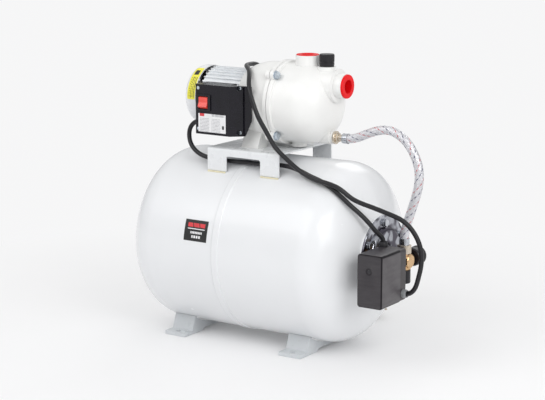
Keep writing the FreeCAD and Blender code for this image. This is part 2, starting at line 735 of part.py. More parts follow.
shaft_radius = dims.shaft_radius
seal_seat = on_pump_axis("seal_seat")
seal_seat.spin_x([(45, 9), (45, dims.seal_bore), (52, dims.seal_bore), (52, 9)])
seal_ring = on_pump_axis("seal_ring")
seal_ring.spin_x([(52.02, shaft_radius), (52.02, 13.5), (55, 13.5), (55, 12), (disc_x, 12),
                  (disc_x, shaft_radius)])

# ------------------------------------------------------------------- motor
shell = on_pump_axis("motor_shell")
shell_outer, shell_inner = dims.shell_outer, dims.shell_inner
shell_left, shell_right = dims.shell_left, dims.shell_right
shell.spin_x([(shell_left, shell_inner), (shell_left, shell_outer),
              (shell_right, shell_outer), (shell_right, shell_inner)])
fin = shell.pad("YZ", shell_left, rectangle(
    shell_outer - 1, -dims.fin_width / 2, shell_outer + dims.fin_height, dims.fin_width / 2),
    shell_right - shell_left)
shell.polar(fin, "X", dims.fin_count)
# Pad that carries the terminal box
shell.pad("XZ", shell_outer - 2, rectangle(-82, -24, -38, 24), dims.box_back - shell_outer + 2)

stator_left, stator_right = dims.stator_left, dims.stator_right
keep(tube("stator_core", dims.stator_radius, dims.stator_bore, stator_right - stator_left,
          stator_left, 0, pump_z, TO_X))
winding_left = on_pump_axis("winding_left", piece=False)
winding_left.spin_x([(-113.5, 34), (-113.5, 44), (-111.5, 46), (stator_left, 47),
                     (stator_left, 33), (-111.5, 33)])
winding_right = on_pump_axis("winding_right", piece=False)
winding_right.spin_x([(-34.5, 34), (-36.5, 33), (stator_right, 33), (stator_right, 47),
                      (-36.5, 46), (-34.5, 44)])
keep(group("stator_windings", [winding_left.body, winding_right.body]))


def bearing(label, left):
    """Ball bearing with a shallow recess in each face; left is its -X face."""
    body = on_pump_axis(label, piece=False)
    inner, outer = shaft_radius + 0.05, dims.bearing_outer
    right = left + dims.bearing_width
    body.spin_x([
        (left, inner), (left, inner + 2.4), (left + 0.8, inner + 2.6),
        (left + 0.8, outer - 2.6), (left, outer - 2.4), (left, outer), (right, outer),
        (right, outer - 2.4), (right - 0.8, outer - 2.6), (right - 0.8, inner + 2.6),
        (right, inner + 2.4), (right, inner)])
    return body.body


keep(group("motor_bearings", [bearing("bearing_0", dims.rear_bearing_x),
                              bearing("bearing_1", dims.front_bearing_x)]))

shaft = on_pump_axis("motor_shaft")
rear_step, front_step = dims.rear_bearing_x + dims.bearing_width, dims.front_bearing_x
shaft.spin_x([
    (dims.shaft_tail, 0), (dims.shaft_tail, 6), (-137, 6), (-137, shaft_radius),
    (rear_step, shaft_radius), (rear_step, 9.5), (front_step, 9.5),
    (front_step, shaft_radius), (disc_x, shaft_radius), (disc_x, 5), (dims.shaft_nose, 5),
    (dims.shaft_nose, 0)])

rotor = on_pump_axis("rotor")
rotor.spin_x([
    (stator_left - 6, 20), (stator_left - 6, 27), (stator_left, 28),
    (stator_left, dims.rotor_radius), (stator_right, dims.rotor_radius), (stator_right, 28),
    (stator_right + 6, 27), (stator_right + 6, 20), (stator_right, 20), (stator_right, 9.5),
    (stator_left, 9.5), (stator_left, 20)])

rear_shield = on_pump_axis("rear_shield")
rear_shield.spin_x([
    (dims.shield_left, 11), (dims.shield_left, 23), (-127, 24), (-124, 50), (-122, 52),
    (-122, 55.5), (shell_left, 55.5), (shell_left, 52.05), (shell_left + 6, 52.05),
    (shell_left + 6, 48.5), (shell_left, 47.5), (shell_left, dims.bearing_outer),
    (dims.rear_bearing_x, dims.bearing_outer), (dims.rear_bearing_x, 11)])
# Three radial blocks, as (radius, offset to the side) corners
SHIELD_BLOCK = [(46, 5), (46, -5), (59.1, -5), (59.1, 5)]
for i in range(3):
    angle = math.radians(120 * i + 30)
    cosine, sine = math.cos(angle), math.sin(angle)
    rear_shield.pad("YZ", -135, [
        (radius * cosine - offset * sine, radius * sine + offset * cosine)
        for radius, offset in SHIELD_BLOCK], 12)

fan_cover = on_pump_axis("fan_cover")
cover_left, cover_right, cover_wall = dims.cover_left, dims.cover_right, dims.cover_wall
cover_radius = dims.cover_radius
round_x = cover_left + dims.cover_round
round_y = cover_radius - dims.cover_round
fan_cover.spin_x([
    (cover_right, cover_radius), (cover_right, cover_radius - cover_wall),
    (round_x, cover_radius - cover_wall, round_x, round_y, "ccw"),
    (cover_left + cover_wall, round_y), (cover_left + cover_wall, 0), (cover_left, 0),
    (cover_left, round_y, round_x, round_y, "cw"), (round_x, cover_radius)])
slot = fan_cover.cut("YZ", cover_left - 1, rectangle(12, -1.6, 36, 1.6, 1.5), 6)
fan_cover.polar(slot, "X", 20)

fan = on_pump_axis("cooling_fan")
fan.spin_x([(-152, 6), (-152, 13), (-140, 16), (-138, 16), (-138, 6)])
blade = fan.pad("YZ", -151, rectangle(11, -1.2, dims.fan_radius, 1.2), 12)
fan.polar(blade, "X", 7)
fan.spin_x([(-139.5, 12), (-139.5, 42), (-138, 42), (-138, 12)])

# ------------------------------------------------------------ terminal box
bottom, top = dims.box_bottom, dims.box_top
left, right, panel_right = dims.box_left, dims.box_right, dims.box_panel_right
front, shelf, back, split = dims.box_front, dims.box_shelf, dims.box_back, dims.box_split
wing, wing_back, wall = dims.box_wing, dims.box_wing_back, dims.box_wall
# Screws: two at the +X side and two at the -X side, as (right z, left z)
SCREW_ROWS = [(z, 470 + (z - 470) * 0.92) for z in (426, 514)]
right_screw_x, left_screw_x = -1, left + 7
CAPACITOR_Y, CAPACITOR_Z = -81, 440
BOX_GLAND_Y, BOX_GLAND_Z = -73, 440

box = Body("terminal_box")
box.pad("XY", bottom, [
    (left + 1, -back), (-28, -back), (-28, -wing_back), (wing, -wing_back), (wing, -split),
    (left + 1, -split)], top - bottom)
box.cut("XY", bottom + wall, [
    (left + 1 + wall, -back - wall), (-28 - wall, -back - wall), (-28 - wall, -wing_back + 1),
    (-28 - wall, -split - 1), (left + 1 + wall, -split - 1)], top - bottom - 2 * wall)
# Slanted lower corner of the wing, then the gland hole
box.cut("XZ", wing_back - 1, [(wing + 1, 452), (wing + 1, bottom - 1), (7, bottom - 1),
                              (7, bottom)], 8)
box.cut("YZ", left, disc(BOX_GLAND_Y, BOX_GLAND_Z, 6.1), 5)
for right_z, left_z in SCREW_ROWS:
    box.cut("XZ", wing_back - 1, disc(right_screw_x, right_z, 1.7), 8)
    box.pad("XZ", split - 14, disc(left_screw_x, left_z, 4.2), 14)
    box.cut("XZ", split - 12, disc(left_screw_x, left_z, 1.7), 14)

cover = Body("terminal_box_cover")
edge_round = 3
cover.pad("XY", bottom, [
    (left, -split), (left, -front + edge_round, left + edge_round, -front + edge_round, "ccw"),
    (left + edge_round, -front), (panel_right, -front), (right, -shelf), (right, -split)],
    top - bottom)
cover.cut("XY", bottom + wall, [
    (left + wall, -split + 1), (left + wall, -front + wall), (panel_right - wall, -front + wall),
    (-9, -split - wall), (-30, -split - wall), (-30, -split + 1)], top - bottom - 2 * wall)
rocker_x, rocker_z = dims.rocker_x, dims.rocker_z
cover.cut("XZ", split - 1, rectangle(rocker_x - 13.5, rocker_z - 14, rocker_x + 13.5,
                                     rocker_z + 14), front - split + 2)
for right_z, left_z in SCREW_ROWS:
    cover.cut("XZ", split - 1, disc(right_screw_x, right_z, 2.1), 40)
    cover.cut("XZ", shelf, disc(right_screw_x, right_z, 4.6), 22)
    cover.pad("XZ", split, disc(left_screw_x, left_z, 4.2), front - split - 1)
    cover.cut("XZ", split - 1, disc(left_screw_x, left_z, 2.1), 40)
    cover.cut("XZ", front - 3, disc(left_screw_x, left_z, 3.8), 10)

screws = []
for i, (right_z, left_z) in enumerate(SCREW_ROWS):
    screws.append(screw("box_screw_right_%d" % i, right_screw_x, right_z,
                        (3.5, 2.2, -shelf - 0.02), (1.65, 6.5, -shelf + 6.0)))
    screws.append(screw("box_screw_left_%d" % i, left_screw_x, left_z,
                        (3.5, 2.2, -front + 2.98), (1.65, 28, -front + 30)))
keep(group("terminal_box_screws", screws))

keep(fuse("run_capacitor", [
    cylinder("run_capacitor_can", 14, 48, -84.5, CAPACITOR_Y, CAPACITOR_Z, TO_X),
    cylinder("run_capacitor_stud", 4, 7.6, -38, CAPACITOR_Y, CAPACITOR_Z, TO_X)]))

# ------------------------------------------------------------------ rocker
housing = Body("rocker_housing", rocker_x, 0, rocker_z)
bezel_x, bezel_z = dims.bezel_width / 2, dims.bezel_height / 2
rocker_half = dims.rocker_width / 2
housing.pad("XZ", front + 0.05, rectangle(-bezel_x, -bezel_z, bezel_x, bezel_z, 2), 2.4)
housing.pad("XZ", front - 20, rectangle(-13.4, -13.9, 13.4, 13.9), 20.1)
housing.cut("XZ", front - 16, rectangle(-rocker_half - 0.4, -12.9, rocker_half + 0.4, 12.9), 30)
housing.cut("YZ", -13, disc(-front + 3.5, 0, 1.55), 26)
for blade_left in (-8, 7):
    housing.pad("XZ", front - 30, rectangle(blade_left, -3, blade_left + 1, 3), 10.1)

# The rocker is tilted 11 degrees about its pivot pin.
tilt = FreeCAD.Rotation(V(1, 0, 0), -11)
rocker = Body("rocker", rocker_x, -front + 3.5, rocker_z, tilt)
rocker.pad("YZ", -rocker_half, [
    (-6.3, -0.8), (-8.3, -9.2), (-7.0, -10.2), (-2, -12.2), (4.5, -6), (4.5, 6), (-2, 12.2),
    (-7.0, 10.2), (-8.3, 9.2), (-6.3, 0.8)], 2 * rocker_half)
rocker.pad("YZ", -rocker_half - 2.2, disc(0, 0, 1.5), 2 * rocker_half + 4.4)

# ------------------------------------------------------------ plugs, cap
suction_plug = Body("suction_plug", 0, 0, pump_z + suction_z)
suction_plug.spin_x([(suction_face + step, radius) for step, radius in [
    (0.05, 14.2), (-0.1, 15.1), (-22, 15.1), (-23.5, 13.6), (-23.5, 0), (-21.5, 0),
    (-21.5, 12.6), (4, 13.4), (4, 22.6), (3.2, 23.4), (0.05, 23.4)]])

discharge_plug = Body("discharge_plug", top_port_x, 0, pump_z)
discharge_plug.spin_z([(radius, top_port_z + step) for radius, step in [
    (0, 0.6), (0, -21.5), (13.6, -21.5), (15.1, -20), (15.1, 0.05), (22.4, 0.05),
    (22.4, 0.9), (21.6, 1.7), (13.6, 1.7), (13.0, 0.6)]])
discharge_plug.cut("XY", top_port_z - 19.5, disc(0, 0, 12.6), 25)

cap_seal = Body("filler_cap_seal", filler_x, 0, pump_z)
cap_seal.spin_z([(10.2, filler_top + 0.02), (14.2, filler_top + 0.02),
                 (14.2, filler_top + 2), (10.2, filler_top + 2)])

filler_cap = Body("filler_cap", filler_x, 0, pump_z)
filler_cap.spin_z([(radius, filler_top + step) for radius, step in [
    (0, -12), (9, -12), (10, -11), (10, 2.02), (14.2, 2.02), (14.8, 3), (14.8, 8.2),
    (14.1, 8.4), (14.1, 9.4), (14.9, 9.6), (15, 22.5), (13.8, 24.5), (0, 24.5)]])
groove = filler_cap.cut("XY", filler_top + 10.4, disc(16.0, 0, 1.5), 20)
filler_cap.polar(groove, "Z", 18)

# ---------------------------------------------------------------- hose line
hose_z = pump_z + outlet_z
nipple = Body("hose_nipple", 0, 0, hose_z)
nipple.spin_x([(outlet_face + step, radius) for step, radius in [
    (-13, 5), (-13, 8), (0.1, 8), (0.1, 13), (3.6, 13), (4.4, 12.2), (4.4, 8.4),
    (9.5, 8.4), (9.5, 6.6), (17, 6.6), (17, 8), (19.5, 8), (19.5, 5.1), (31, 5.1),
    (31, 4), (-8, 4), (-8, 5)]])
nipple.pad("YZ", outlet_face + 4, ring_points(9.8, 6), 5.2)
nipple.cut("YZ", outlet_face - 15, disc(0, 0, 4), 80)

fitting_x, fitting_z = dims.fitting_x, dims.tank_axis_z
hose_start = outlet_face + 19.6
# Centre line (x, y, z) from the pump outlet down to the fitting
keep(curve("braided_hose", [
    (hose_start, 0, hose_z), (hose_start + 12, 0, hose_z + 0.15), (216, 0, 424.6),
    (240, 0, 434.6), (266, 0, 443), (288, 0, 444), (309, 0, 436), (327, 0, 421.5),
    (340, 0, 403), (349, 0, 382), (352, 0, 358), (348.5, 0, 333), (340, 0, 304),
    (331, 0, 278), (324.3, 0, 256), (fitting_x, 0, 238), (fitting_x, 0, 225.2)],
    dims.hose_radius, dims.hose_bore, end=(0, 0, -1)))
keep(group("hose_ferrules", [
    tube("hose_ferrule_0", 10.1, dims.hose_radius + 0.45, 11, hose_start + 0.1, 0, hose_z, TO_X),
    tube("hose_ferrule_1", 10, dims.hose_radius + 0.3, 13, fitting_x, 0, 225.3)]))
hose_tail = Body("hose_tail", fitting_x, 0, 0)
hose_tail.spin_z([(4, 219.3), (9.2, 219.3), (9.2, 222), (5.1, 222), (5.1, 234), (4, 234)])
hose_nut = Body("hose_nut", fitting_x, 0, 0)
hose_nut.pad("XY", 208.1, ring_points(13.86, 6, 30), 17.1)
hose_nut.cut("XY", 206, disc(0, 0, 10.45), 16.2)
hose_nut.cut("XY", 206, disc(0, 0, 5.6), 25)

# ---------------------------------------------------------- five-way fitting
fitting = Body("five_way_fitting", fitting_x, 0, fitting_z)
barrel = dims.fitting_radius
tail = flange_outer + 5.5 - fitting_x
fitting.spin_x([
    (tail, 0), (tail, 16.55), (tail + 20, 16.55), (tail + 20, 13), (tail + 21.5, 13),
    (tail + 21.5, barrel), (barrel, barrel), (barrel + 2, barrel - 2), (barrel + 2, 0)])
fitting.pad("YZ", tail + 20.5, ring_points(18.5, 6), 5)
# Vertical body and branches, then the branches along Y
fitting.pad("XY", -16, disc(0, 0, barrel - 0.7), 29)
fitting.pad("XY", -27, disc(0, 0, 10.4), 52)
fitting.pad("XZ", -17, disc(0, 0, 11.1), 31)
fitting.cut("YZ", tail - 1, disc(0, 0, dims.fitting_bore), -tail + 10)
fitting.cut("XY", -28, disc(0, 0, 7.5), 56)
fitting.cut("XZ", -18, disc(0, 0, 6.55), 35)

outlet_cap = Body("outlet_cap", fitting_x, 0, fitting_z)
outlet_cap.spin_z([(0, -44), (12, -44), (13, -43), (13, -18.5), (12.5, -17.8),
                   (10.45, -17.8), (10.45, -27.5), (0, -27.5)])


# ------------------------------------------------------------------- gauge
# Gauge bodies are turned so that their -Z points to +Y, away from the fitting.
def gauge_part(label):
    return Body(label, fitting_x, 0, fitting_z, TO_YN)


gauge_radius = dims.gauge_radius
case_near = -dims.gauge_y
case_far = case_near - dims.gauge_depth
stem = gauge_part("gauge_stem")
stem.spin_z([(2, -8), (6.5, -8), (6.5, -17.1), (8.6, -17.1), (8.6, case_near + 4),
             (6.5, case_near + 4), (6.5, case_near - 1.6), (2, case_near - 1.6)])
case = gauge_part("gauge_case")
case.spin_z([
    (6.55, case_near), (gauge_radius - 3, case_near), (gauge_radius - 1, case_near - 3),
    (gauge_radius - 1, case_far + 6), (gauge_radius, case_far + 5),
    (gauge_radius, case_far + 0.8), (gauge_radius - 0.8, case_far),
    (gauge_radius - 2.6, case_far), (gauge_radius - 2.6, case_far + 1),
    (gauge_radius - 2.4, case_far + 1), (gauge_radius - 2.4, case_near - 1.7),
    (6.55, case_near - 1.7)])
dial = gauge_part("gauge_dial")
dial.spin_z([(1.05, case_far + 8), (gauge_radius - 2.45, case_far + 8),
             (gauge_radius - 2.45, case_far + 7.2), (1.05, case_far + 7.2)])
needle = gauge_part("gauge_needle")
needle.spin_z([(0, case_far + 12), (1, case_far + 12), (1, case_far + 6.6),
               (1.9, case_far + 6.4), (1.9, case_far + 4.6), (0, case_far + 4.6)])
needle.pad("XY", case_far + 5.2, [(-0.7, 1), (-10.4, -8.4), (-9.9, -8.9), (0.3, 0)], 0.7)
lens = gauge_part("gauge_lens")
lens.spin_z([(0, case_far + 3), (gauge_radius - 2.5, case_far + 3),
             (gauge_radius - 2.5, case_far + 1.05), (0, case_far + 1.05)])

# --------------------------------------------------------- pressure switch
left, right, bottom, top = (dims.switch_left, dims.switch_right, dims.switch_bottom,
                            dims.switch_top)
front, split, back, wall = (dims.switch_front, dims.switch_split, dims.switch_base_back,
                            dims.switch_wall)
screw_x, screw_z = dims.switch_screw_x, dims.switch_screw_z
gland_x, gland_y, gland_z = dims.switch_gland_x, dims.switch_gland_y, dims.switch_gland_z
LEVER_Y, LEVER_Z = -74, 164


def cover_outline(inset, overrun):
    """Cover in plan, with two round corners at -Y; inset is the wall taken off."""
    centre_y = -front + 9
    return [
        (left + inset, -split + overrun), (left + inset, centre_y, left + 9, centre_y, "ccw"),
        (left + 9, -front + inset), (right - 9, -front + inset, right - 9, centre_y, "ccw"),
        (right - inset, centre_y), (right - inset, -split + overrun)]


switch_cover = Body("switch_cover")
switch_cover.pad("XY", bottom, cover_outline(0, 0), top - bottom)
switch_cover.cut("XY", bottom + wall, cover_outline(wall, 1), top - bottom - 2 * wall)
switch_cover.cut("XZ", front - 5, disc(screw_x, screw_z, 3.1), 10)

switch_base = Body("switch_base")
# Shell of the base with a lip that enters the cover
lip_inset = wall + 0.2
switch_base.pad("XZ", back, rectangle(left + 1, bottom + 1, right - 1, top - 1, 5), split - back)
switch_base.pad("XZ", split - 1, rectangle(
    left + wall + 0.2, bottom + lip_inset, right - wall - 0.2, top - lip_inset, 3), 8)
switch_base.cut("XZ", back + 5, rectangle(left + 7, bottom + 7, right - 7, top - 7, 2), 40)
# Stepped stem to the fitting, hollowed for the diaphragm
switch_base.pad("XZ", 33, disc(fitting_x, fitting_z, 22), back - 33 + 1)
switch_base.pad("XZ", 19, disc(fitting_x, fitting_z, 15), 16)
switch_base.pad("XZ", 8, disc(fitting_x, fitting_z, 6.5), 12)
switch_base.cut("XZ", 36, disc(fitting_x, fitting_z, 18.2), 3.4)
switch_base.cut("XZ", 7, disc(fitting_x, fitting_z, 2.5), 30)
switch_base.cut("XZ", 38, disc(fitting_x, fitting_z, 3.55), 20)
# Pairs of posts: outer ones for the bridge, inner ones for the lever pin
for side in (-1, 1):
    outer_x, inner_x = fitting_x + side * 18.5, fitting_x + side * 9
    switch_base.pad("XZ", back + 4, rectangle(
        outer_x - 1.5, screw_z - 8, outer_x + 1.5, screw_z + 8), 42 - 4)
    switch_base.pad("XZ", back + 4, rectangle(inner_x - 1.5, 158, inner_x + 1.5, 170), 34)
# Bridge across the posts with the screw pillar
switch_base.pad("XZ", back + 40, rectangle(
    fitting_x - 20, screw_z - 8, fitting_x + 20, screw_z + 8), 2)
switch_base.pad("XZ", back + 41, disc(screw_x, screw_z, 4), front - 6 - back - 41)
switch_base.cut("XZ", front - 26, disc(screw_x, screw_z, 2), 30)
# Gland holes in the top and the +X side, then the lever pin hole
switch_base.cut("XY", 220, disc(gland_x, -gland_y, 6.1), 15)
switch_base.cut("YZ", 338, disc(-gland_y, gland_z, 6.1), 15)
switch_base.cut("YZ", fitting_x - 12, disc(LEVER_Y, LEVER_Z, 1.55), 24)

keep(screw("switch_cover_screw", screw_x, screw_z, (3, 2.4, -front + 3.4),
           (1.95, 20, -front + 23)))

diaphragm = Body("switch_diaphragm")
diaphragm.pad("XZ", 36.1, disc(fitting_x, fitting_z, 18), 1.2)
diaphragm.pad("XZ", 37, disc(fitting_x, fitting_z, 3.5), 31.9)
diaphragm.pad("XZ", 68, disc(fitting_x, fitting_z, 1.2), 2.9)

lever = Body("switch_lever", fitting_x, LEVER_Y, LEVER_Z)
lever.pad("YZ", -6.5, [(3, -3), (3, 36), (0.5, 36), (0.5, 3), (-3, 3), (-3, -3)], 13)
lever.pad("YZ", -10.5, disc(0, 0, 1.5), 21)

# ------------------------------------------------------------------- glands
box_gland = Body("gland_box", 0, BOX_GLAND_Y, BOX_GLAND_Z, piece=False)
box_gland.spin_x([(-108, 6.1), (-108, 7), (-104, 8.4), (-97.05, 8.4), (-97.05, 6.0),
                  (-91, 6.0), (-91, 4.9), (-101, 4.9)])
# Switch glands stand on their own Z axis: (radius, height above the wall)
SWITCH_GLAND = [(6.4, 8.6), (7.1, 8.6), (8.2, 4.5), (8.2, -0.95), (6.0, -0.95), (6.0, -7),
                (4.95, -7), (4.95, 0.5)]
top_gland = Body("gland_switch_top", gland_x, -gland_y, top, piece=False)
top_gland.spin_z(SWITCH_GLAND)
side_gland = Body("gland_switch_side", right, -gland_y, gland_z, TO_X, piece=False)
side_gland.spin_z(SWITCH_GLAND)
keep(group("cable_glands", [box_gland.body, top_gland.body, side_gland.body]))

# ------------------------------------------------------------------- cables
cable_radius = dims.cable_radius
# Centre line (x, y, z) from the terminal box to the top of the switch
keep(curve("motor_cable", [
    (-92, BOX_GLAND_Y, BOX_GLAND_Z), (-104, BOX_GLAND_Y, BOX_GLAND_Z), (-119, -73.5, 436.5),
    (-130, -76, 425), (-131.5, -79, 410), (-125, -83, 394), (-109, -87, 380),
    (-90, -89, 372.5), (-60, -86, 367.5), (-30, -80, 366), (5, -77, 366.5), (38, -77, 366.5),
    (66, -79, 368), (90, -81, 369.5), (112, -82, 368.5), (137, -84, 363.5), (163, -90, 357),
    (190.5, -97.0, 351.7), (214.6, -98.1, 341.5), (234.1, -94.1, 326.7),
    (253.2, -88.2, 309.1), (270, -80, 293), (285, -70, 274), (296, -59, 256),
    (303.3, -50.8, 243), (gland_x, -gland_y, 232), (gland_x, -gland_y, 224)],
    cable_radius, start=(-1, 0, 0), end=(0, 0, -1)))

# Centre line (x, y, z) from the side of the switch, over the motor to the plug
supply_cord = curve("supply_cord", [
    (343, -gland_y, gland_z), (357.5, -gland_y, gland_z), (369.5, -50, 150), (380, -49, 175),
    (386, -48, 209), (382, -48, 239), (370, -52, 265), (351, -58, 285), (325, -66, 297),
    (290, -76, 309), (254.3, -87.8, 323.8), (233.7, -97.6, 341.2), (193.1, -108.2, 354.1),
    (147.2, -101.5, 367.4), (116, -105, 390), (92, -104, 409), (69, -100, 436),
    (50, -98, 461), (36, -96.8, 489.5), (25.5, -93, 512), (12, -75, 533), (-5, -51, 546.5),
    (-24, -31, 551), (-34.5, -8, 551), (-38, 20, 549), (-41, 58, 530), (-48, 92, 490),
    (-56, 130, 430), (-62, 165, 370), (-66, 196, 290), (-66, 206, 200), (-62, 208, 110),
    (-46, 210, 45), (-20, 214, 20), (20, 220, 18), (60, 224, 18), (90, 225, 18)],
    cable_radius)
plug = Body("plug", 88, 225, 18, piece=False)
plug.spin_x([
    (0, cable_radius + 0.05), (0, 6.2), (14, 8), (16, 14), (20, 17.5), (44, 17.5), (46, 16),
    (46, 0), (3, 0), (3, cable_radius + 0.05)])
for side in (-1, 1):
    plug.pad("YZ", 45, disc(side * 9.5, 0, 2.4), 20)
keep(group("supply_cable", [supply_cord, plug.body]))

# -------------------------------------------------------- check and export
doc.recompute()
faults = ["%s (%s) %s" % (obj.Name, obj.Label, ",".join(obj.State))
          for obj in doc.Objects if "Invalid" in obj.State or "Error" in obj.State]
for obj in PIECES:
    shape = obj.Shape
    if shape.isNull() or not shape.isValid() or not shape.Solids:
        faults.append("no sound shape: " + obj.Label)
if faults:
    raise RuntimeError("; ".join(faults))
os.makedirs("parts", exist_ok=True)
for obj in PIECES:
    obj.Shape.exportStep("parts/%s.step" % obj.Label)
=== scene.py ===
# Water pump set: a tank lying along X carries the pump and its motor, whose fan cover ends
# at -X. The pressure switch, braided hose and two cables are at +X.
# Metres, +Z up, floor at z = 0, front towards -Y. Names in capitals are mm unless noted.
import math
import bpy
import numpy as np
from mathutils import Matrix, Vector


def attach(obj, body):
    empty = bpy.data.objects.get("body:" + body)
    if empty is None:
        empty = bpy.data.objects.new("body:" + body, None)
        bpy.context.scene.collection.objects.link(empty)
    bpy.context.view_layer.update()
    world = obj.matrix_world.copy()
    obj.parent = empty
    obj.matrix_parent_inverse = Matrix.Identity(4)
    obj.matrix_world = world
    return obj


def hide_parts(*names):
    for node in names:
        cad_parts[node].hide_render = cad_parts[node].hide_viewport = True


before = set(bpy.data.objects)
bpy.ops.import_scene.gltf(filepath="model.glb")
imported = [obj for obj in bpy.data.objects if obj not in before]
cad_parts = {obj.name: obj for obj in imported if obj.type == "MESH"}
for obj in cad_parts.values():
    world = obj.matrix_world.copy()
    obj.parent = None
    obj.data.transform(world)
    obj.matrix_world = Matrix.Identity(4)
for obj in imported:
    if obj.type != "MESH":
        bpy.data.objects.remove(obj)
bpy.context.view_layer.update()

MM = 0.001
scene = bpy.context.scene

TANK_RADIUS = 180.0
TANK_AXIS_Z = 194.0
MOTOR_AXIS_Z = 482.0
STICKER_LIFT = 0.25     # gap between a sticker and the curved surface below it
SPLIT_ANGLE = math.radians(34)
MATERIALS = {}


# ---------------------------------------------------------------- shader nodes
def set_inputs(tree, target, inputs):
    """Link each input to a socket, or set its value; colors are given as RGB."""
    for key, value in inputs.items():
        socket = target.inputs[key]
        if isinstance(value, bpy.types.NodeSocket):
            tree.links.new(value, socket)
        else:
            socket.default_value = (*value, 1) if socket.type == "RGBA" else value


def node(tree, kind, inputs=None, **settings):
    made = tree.nodes.new("ShaderNode" + kind)
    for key, value in settings.items():
        setattr(made, key, value)
    set_inputs(tree, made, inputs or {})
    return made


def find_node(tree, kind):
    return next(found for found in tree.nodes if found.type == kind)


def principled(name):
    """New material; returns its node tree and its Principled node."""
    made = bpy.data.materials.new(name)
    made.use_nodes = True
    tree = made.node_tree
    tree.nodes.clear()
    output = node(tree, "OutputMaterial")
    bsdf = node(tree, "BsdfPrincipled")
    set_inputs(tree, output, {0: bsdf.outputs[0]})
    MATERIALS[name] = made
    return tree, bsdf


def coords(tree, stretch=(1, 1, 1)):
    """Object coordinates, scaled by stretch."""
    source = node(tree, "TexCoord").outputs["Object"]
    return node(tree, "Mapping", {"Scale": stretch, "Vector": source}).outputs[0]


def noise(tree, vector, scale, detail=4.0, roughness=0.55):
    return node(tree, "TexNoise", {"Scale": scale, "Detail": detail, "Roughness": roughness,
                                   "Vector": vector}).outputs[0]


def remap(tree, value, span, to=(0.0, 1.0)):
    """Clamped linear map of value from span to to."""
    return node(tree, "MapRange", {
        "From Min": span[0], "From Max": span[1], "To Min": to[0], "To Max": to[1],
        "Value": value}, clamp=True).outputs[0]


def mix(tree, factor, first, second):
    return node(tree, "Mix", {"Factor": factor, 6: first, 7: second},
                data_type="RGBA").outputs[2]


def calculate(tree, operation, *values):
    return node(tree, "Math", dict(enumerate(values)), operation=operation).outputs[0]


# ------------------------------------------------------------------- materials
def surface(name, color, rough, metal=0, tone=0.05, tone_scale=60, rough_vary=0.06,
            bump=0.15, bump_scale=700, bump_depth=0.0003, stretch=(1, 1, 1), coat=0,
            coat_rough=0.08, specular=0.5, round_edge=0.0004, scratch=0, wear=0,
            wear_color=None):
    """Noise-varied surface.

    tone and rough_vary are swings about color and rough, at tone_scale. bump_depth and
    round_edge (radius of the shaded edge rounding) are in metres. stretch scales the
    roughness and bump noise. wear is the strength of small wear_color spots.
    """
    tree, bsdf = principled(name)
    grain = coords(tree, stretch)
    plain = coords(tree)
    broad = noise(tree, plain, tone_scale, detail=5)
    base = mix(tree, remap(tree, broad, span=(0.3, 0.7)),
               [c * (1 - tone) for c in color], [c * (1 + tone) for c in color])
    if wear > 0:
        spots = noise(tree, plain, scale=160, detail=9, roughness=0.72)
        base = mix(tree, remap(tree, spots, span=(0.60, 0.66), to=(0, wear)), base, wear_color)
    uneven = noise(tree, grain, tone_scale * 2.3, detail=6, roughness=0.6)
    roughness = remap(tree, uneven, span=(0.25, 0.75), to=(rough - rough_vary, rough + rough_vary))
    if scratch > 0:
        lines = noise(tree, coords(tree, stretch=(900, 14, 60)), scale=1, detail=2)
        scratches = remap(tree, lines, span=(0.66, 0.72), to=(0, scratch))
        roughness = calculate(tree, "ADD", roughness, scratches)
    height = noise(tree, grain, bump_scale, detail=6, roughness=0.6)
    relief = node(tree, "Bump", {"Strength": bump, "Distance": bump_depth, "Height": height})
    if round_edge > 0:
        rounding = node(tree, "Bevel", {"Radius": round_edge}, samples=4)
        set_inputs(tree, relief, {"Normal": rounding.outputs[0]})
    set_inputs(tree, bsdf, {
        "Base Color": base, "Roughness": roughness, "Metallic": metal,
        "Specular IOR Level": specular, "Coat Weight": coat, "Coat Roughness": coat_rough,
        "Normal": relief.outputs[0]})


# Painted and cast parts
surface("white_paint", (0.80, 0.81, 0.825), rough=0.24, tone=0.012, tone_scale=6, bump=0.08,
        bump_scale=140, coat=0.22, coat_rough=0.10, rough_vary=0.04, round_edge=0.0008)
surface("sheet_white", (0.77, 0.785, 0.80), rough=0.28, tone=0.02, tone_scale=14, bump=0.10,
        bump_scale=240, coat=0.3, rough_vary=0.05, round_edge=0.0010,
        wear=0.25, wear_color=(0.62, 0.60, 0.54))
surface("pump_white", (0.845, 0.845, 0.83), rough=0.34, tone=0.02, tone_scale=18, bump=0.22,
        bump_scale=420, coat=0.2, coat_rough=0.2, round_edge=0.0012)
surface("cover_white", (0.80, 0.81, 0.83), rough=0.30, tone=0.015, tone_scale=20, bump=0.10,
        bump_scale=600, coat=0.2, round_edge=0.0008)
surface("foot_grey", (0.60, 0.625, 0.645), rough=0.30, tone=0.03, tone_scale=14, bump=0.12,
        bump_scale=240, coat=0.3, rough_vary=0.05, round_edge=0.0012,
        wear=0.3, wear_color=(0.42, 0.40, 0.36))

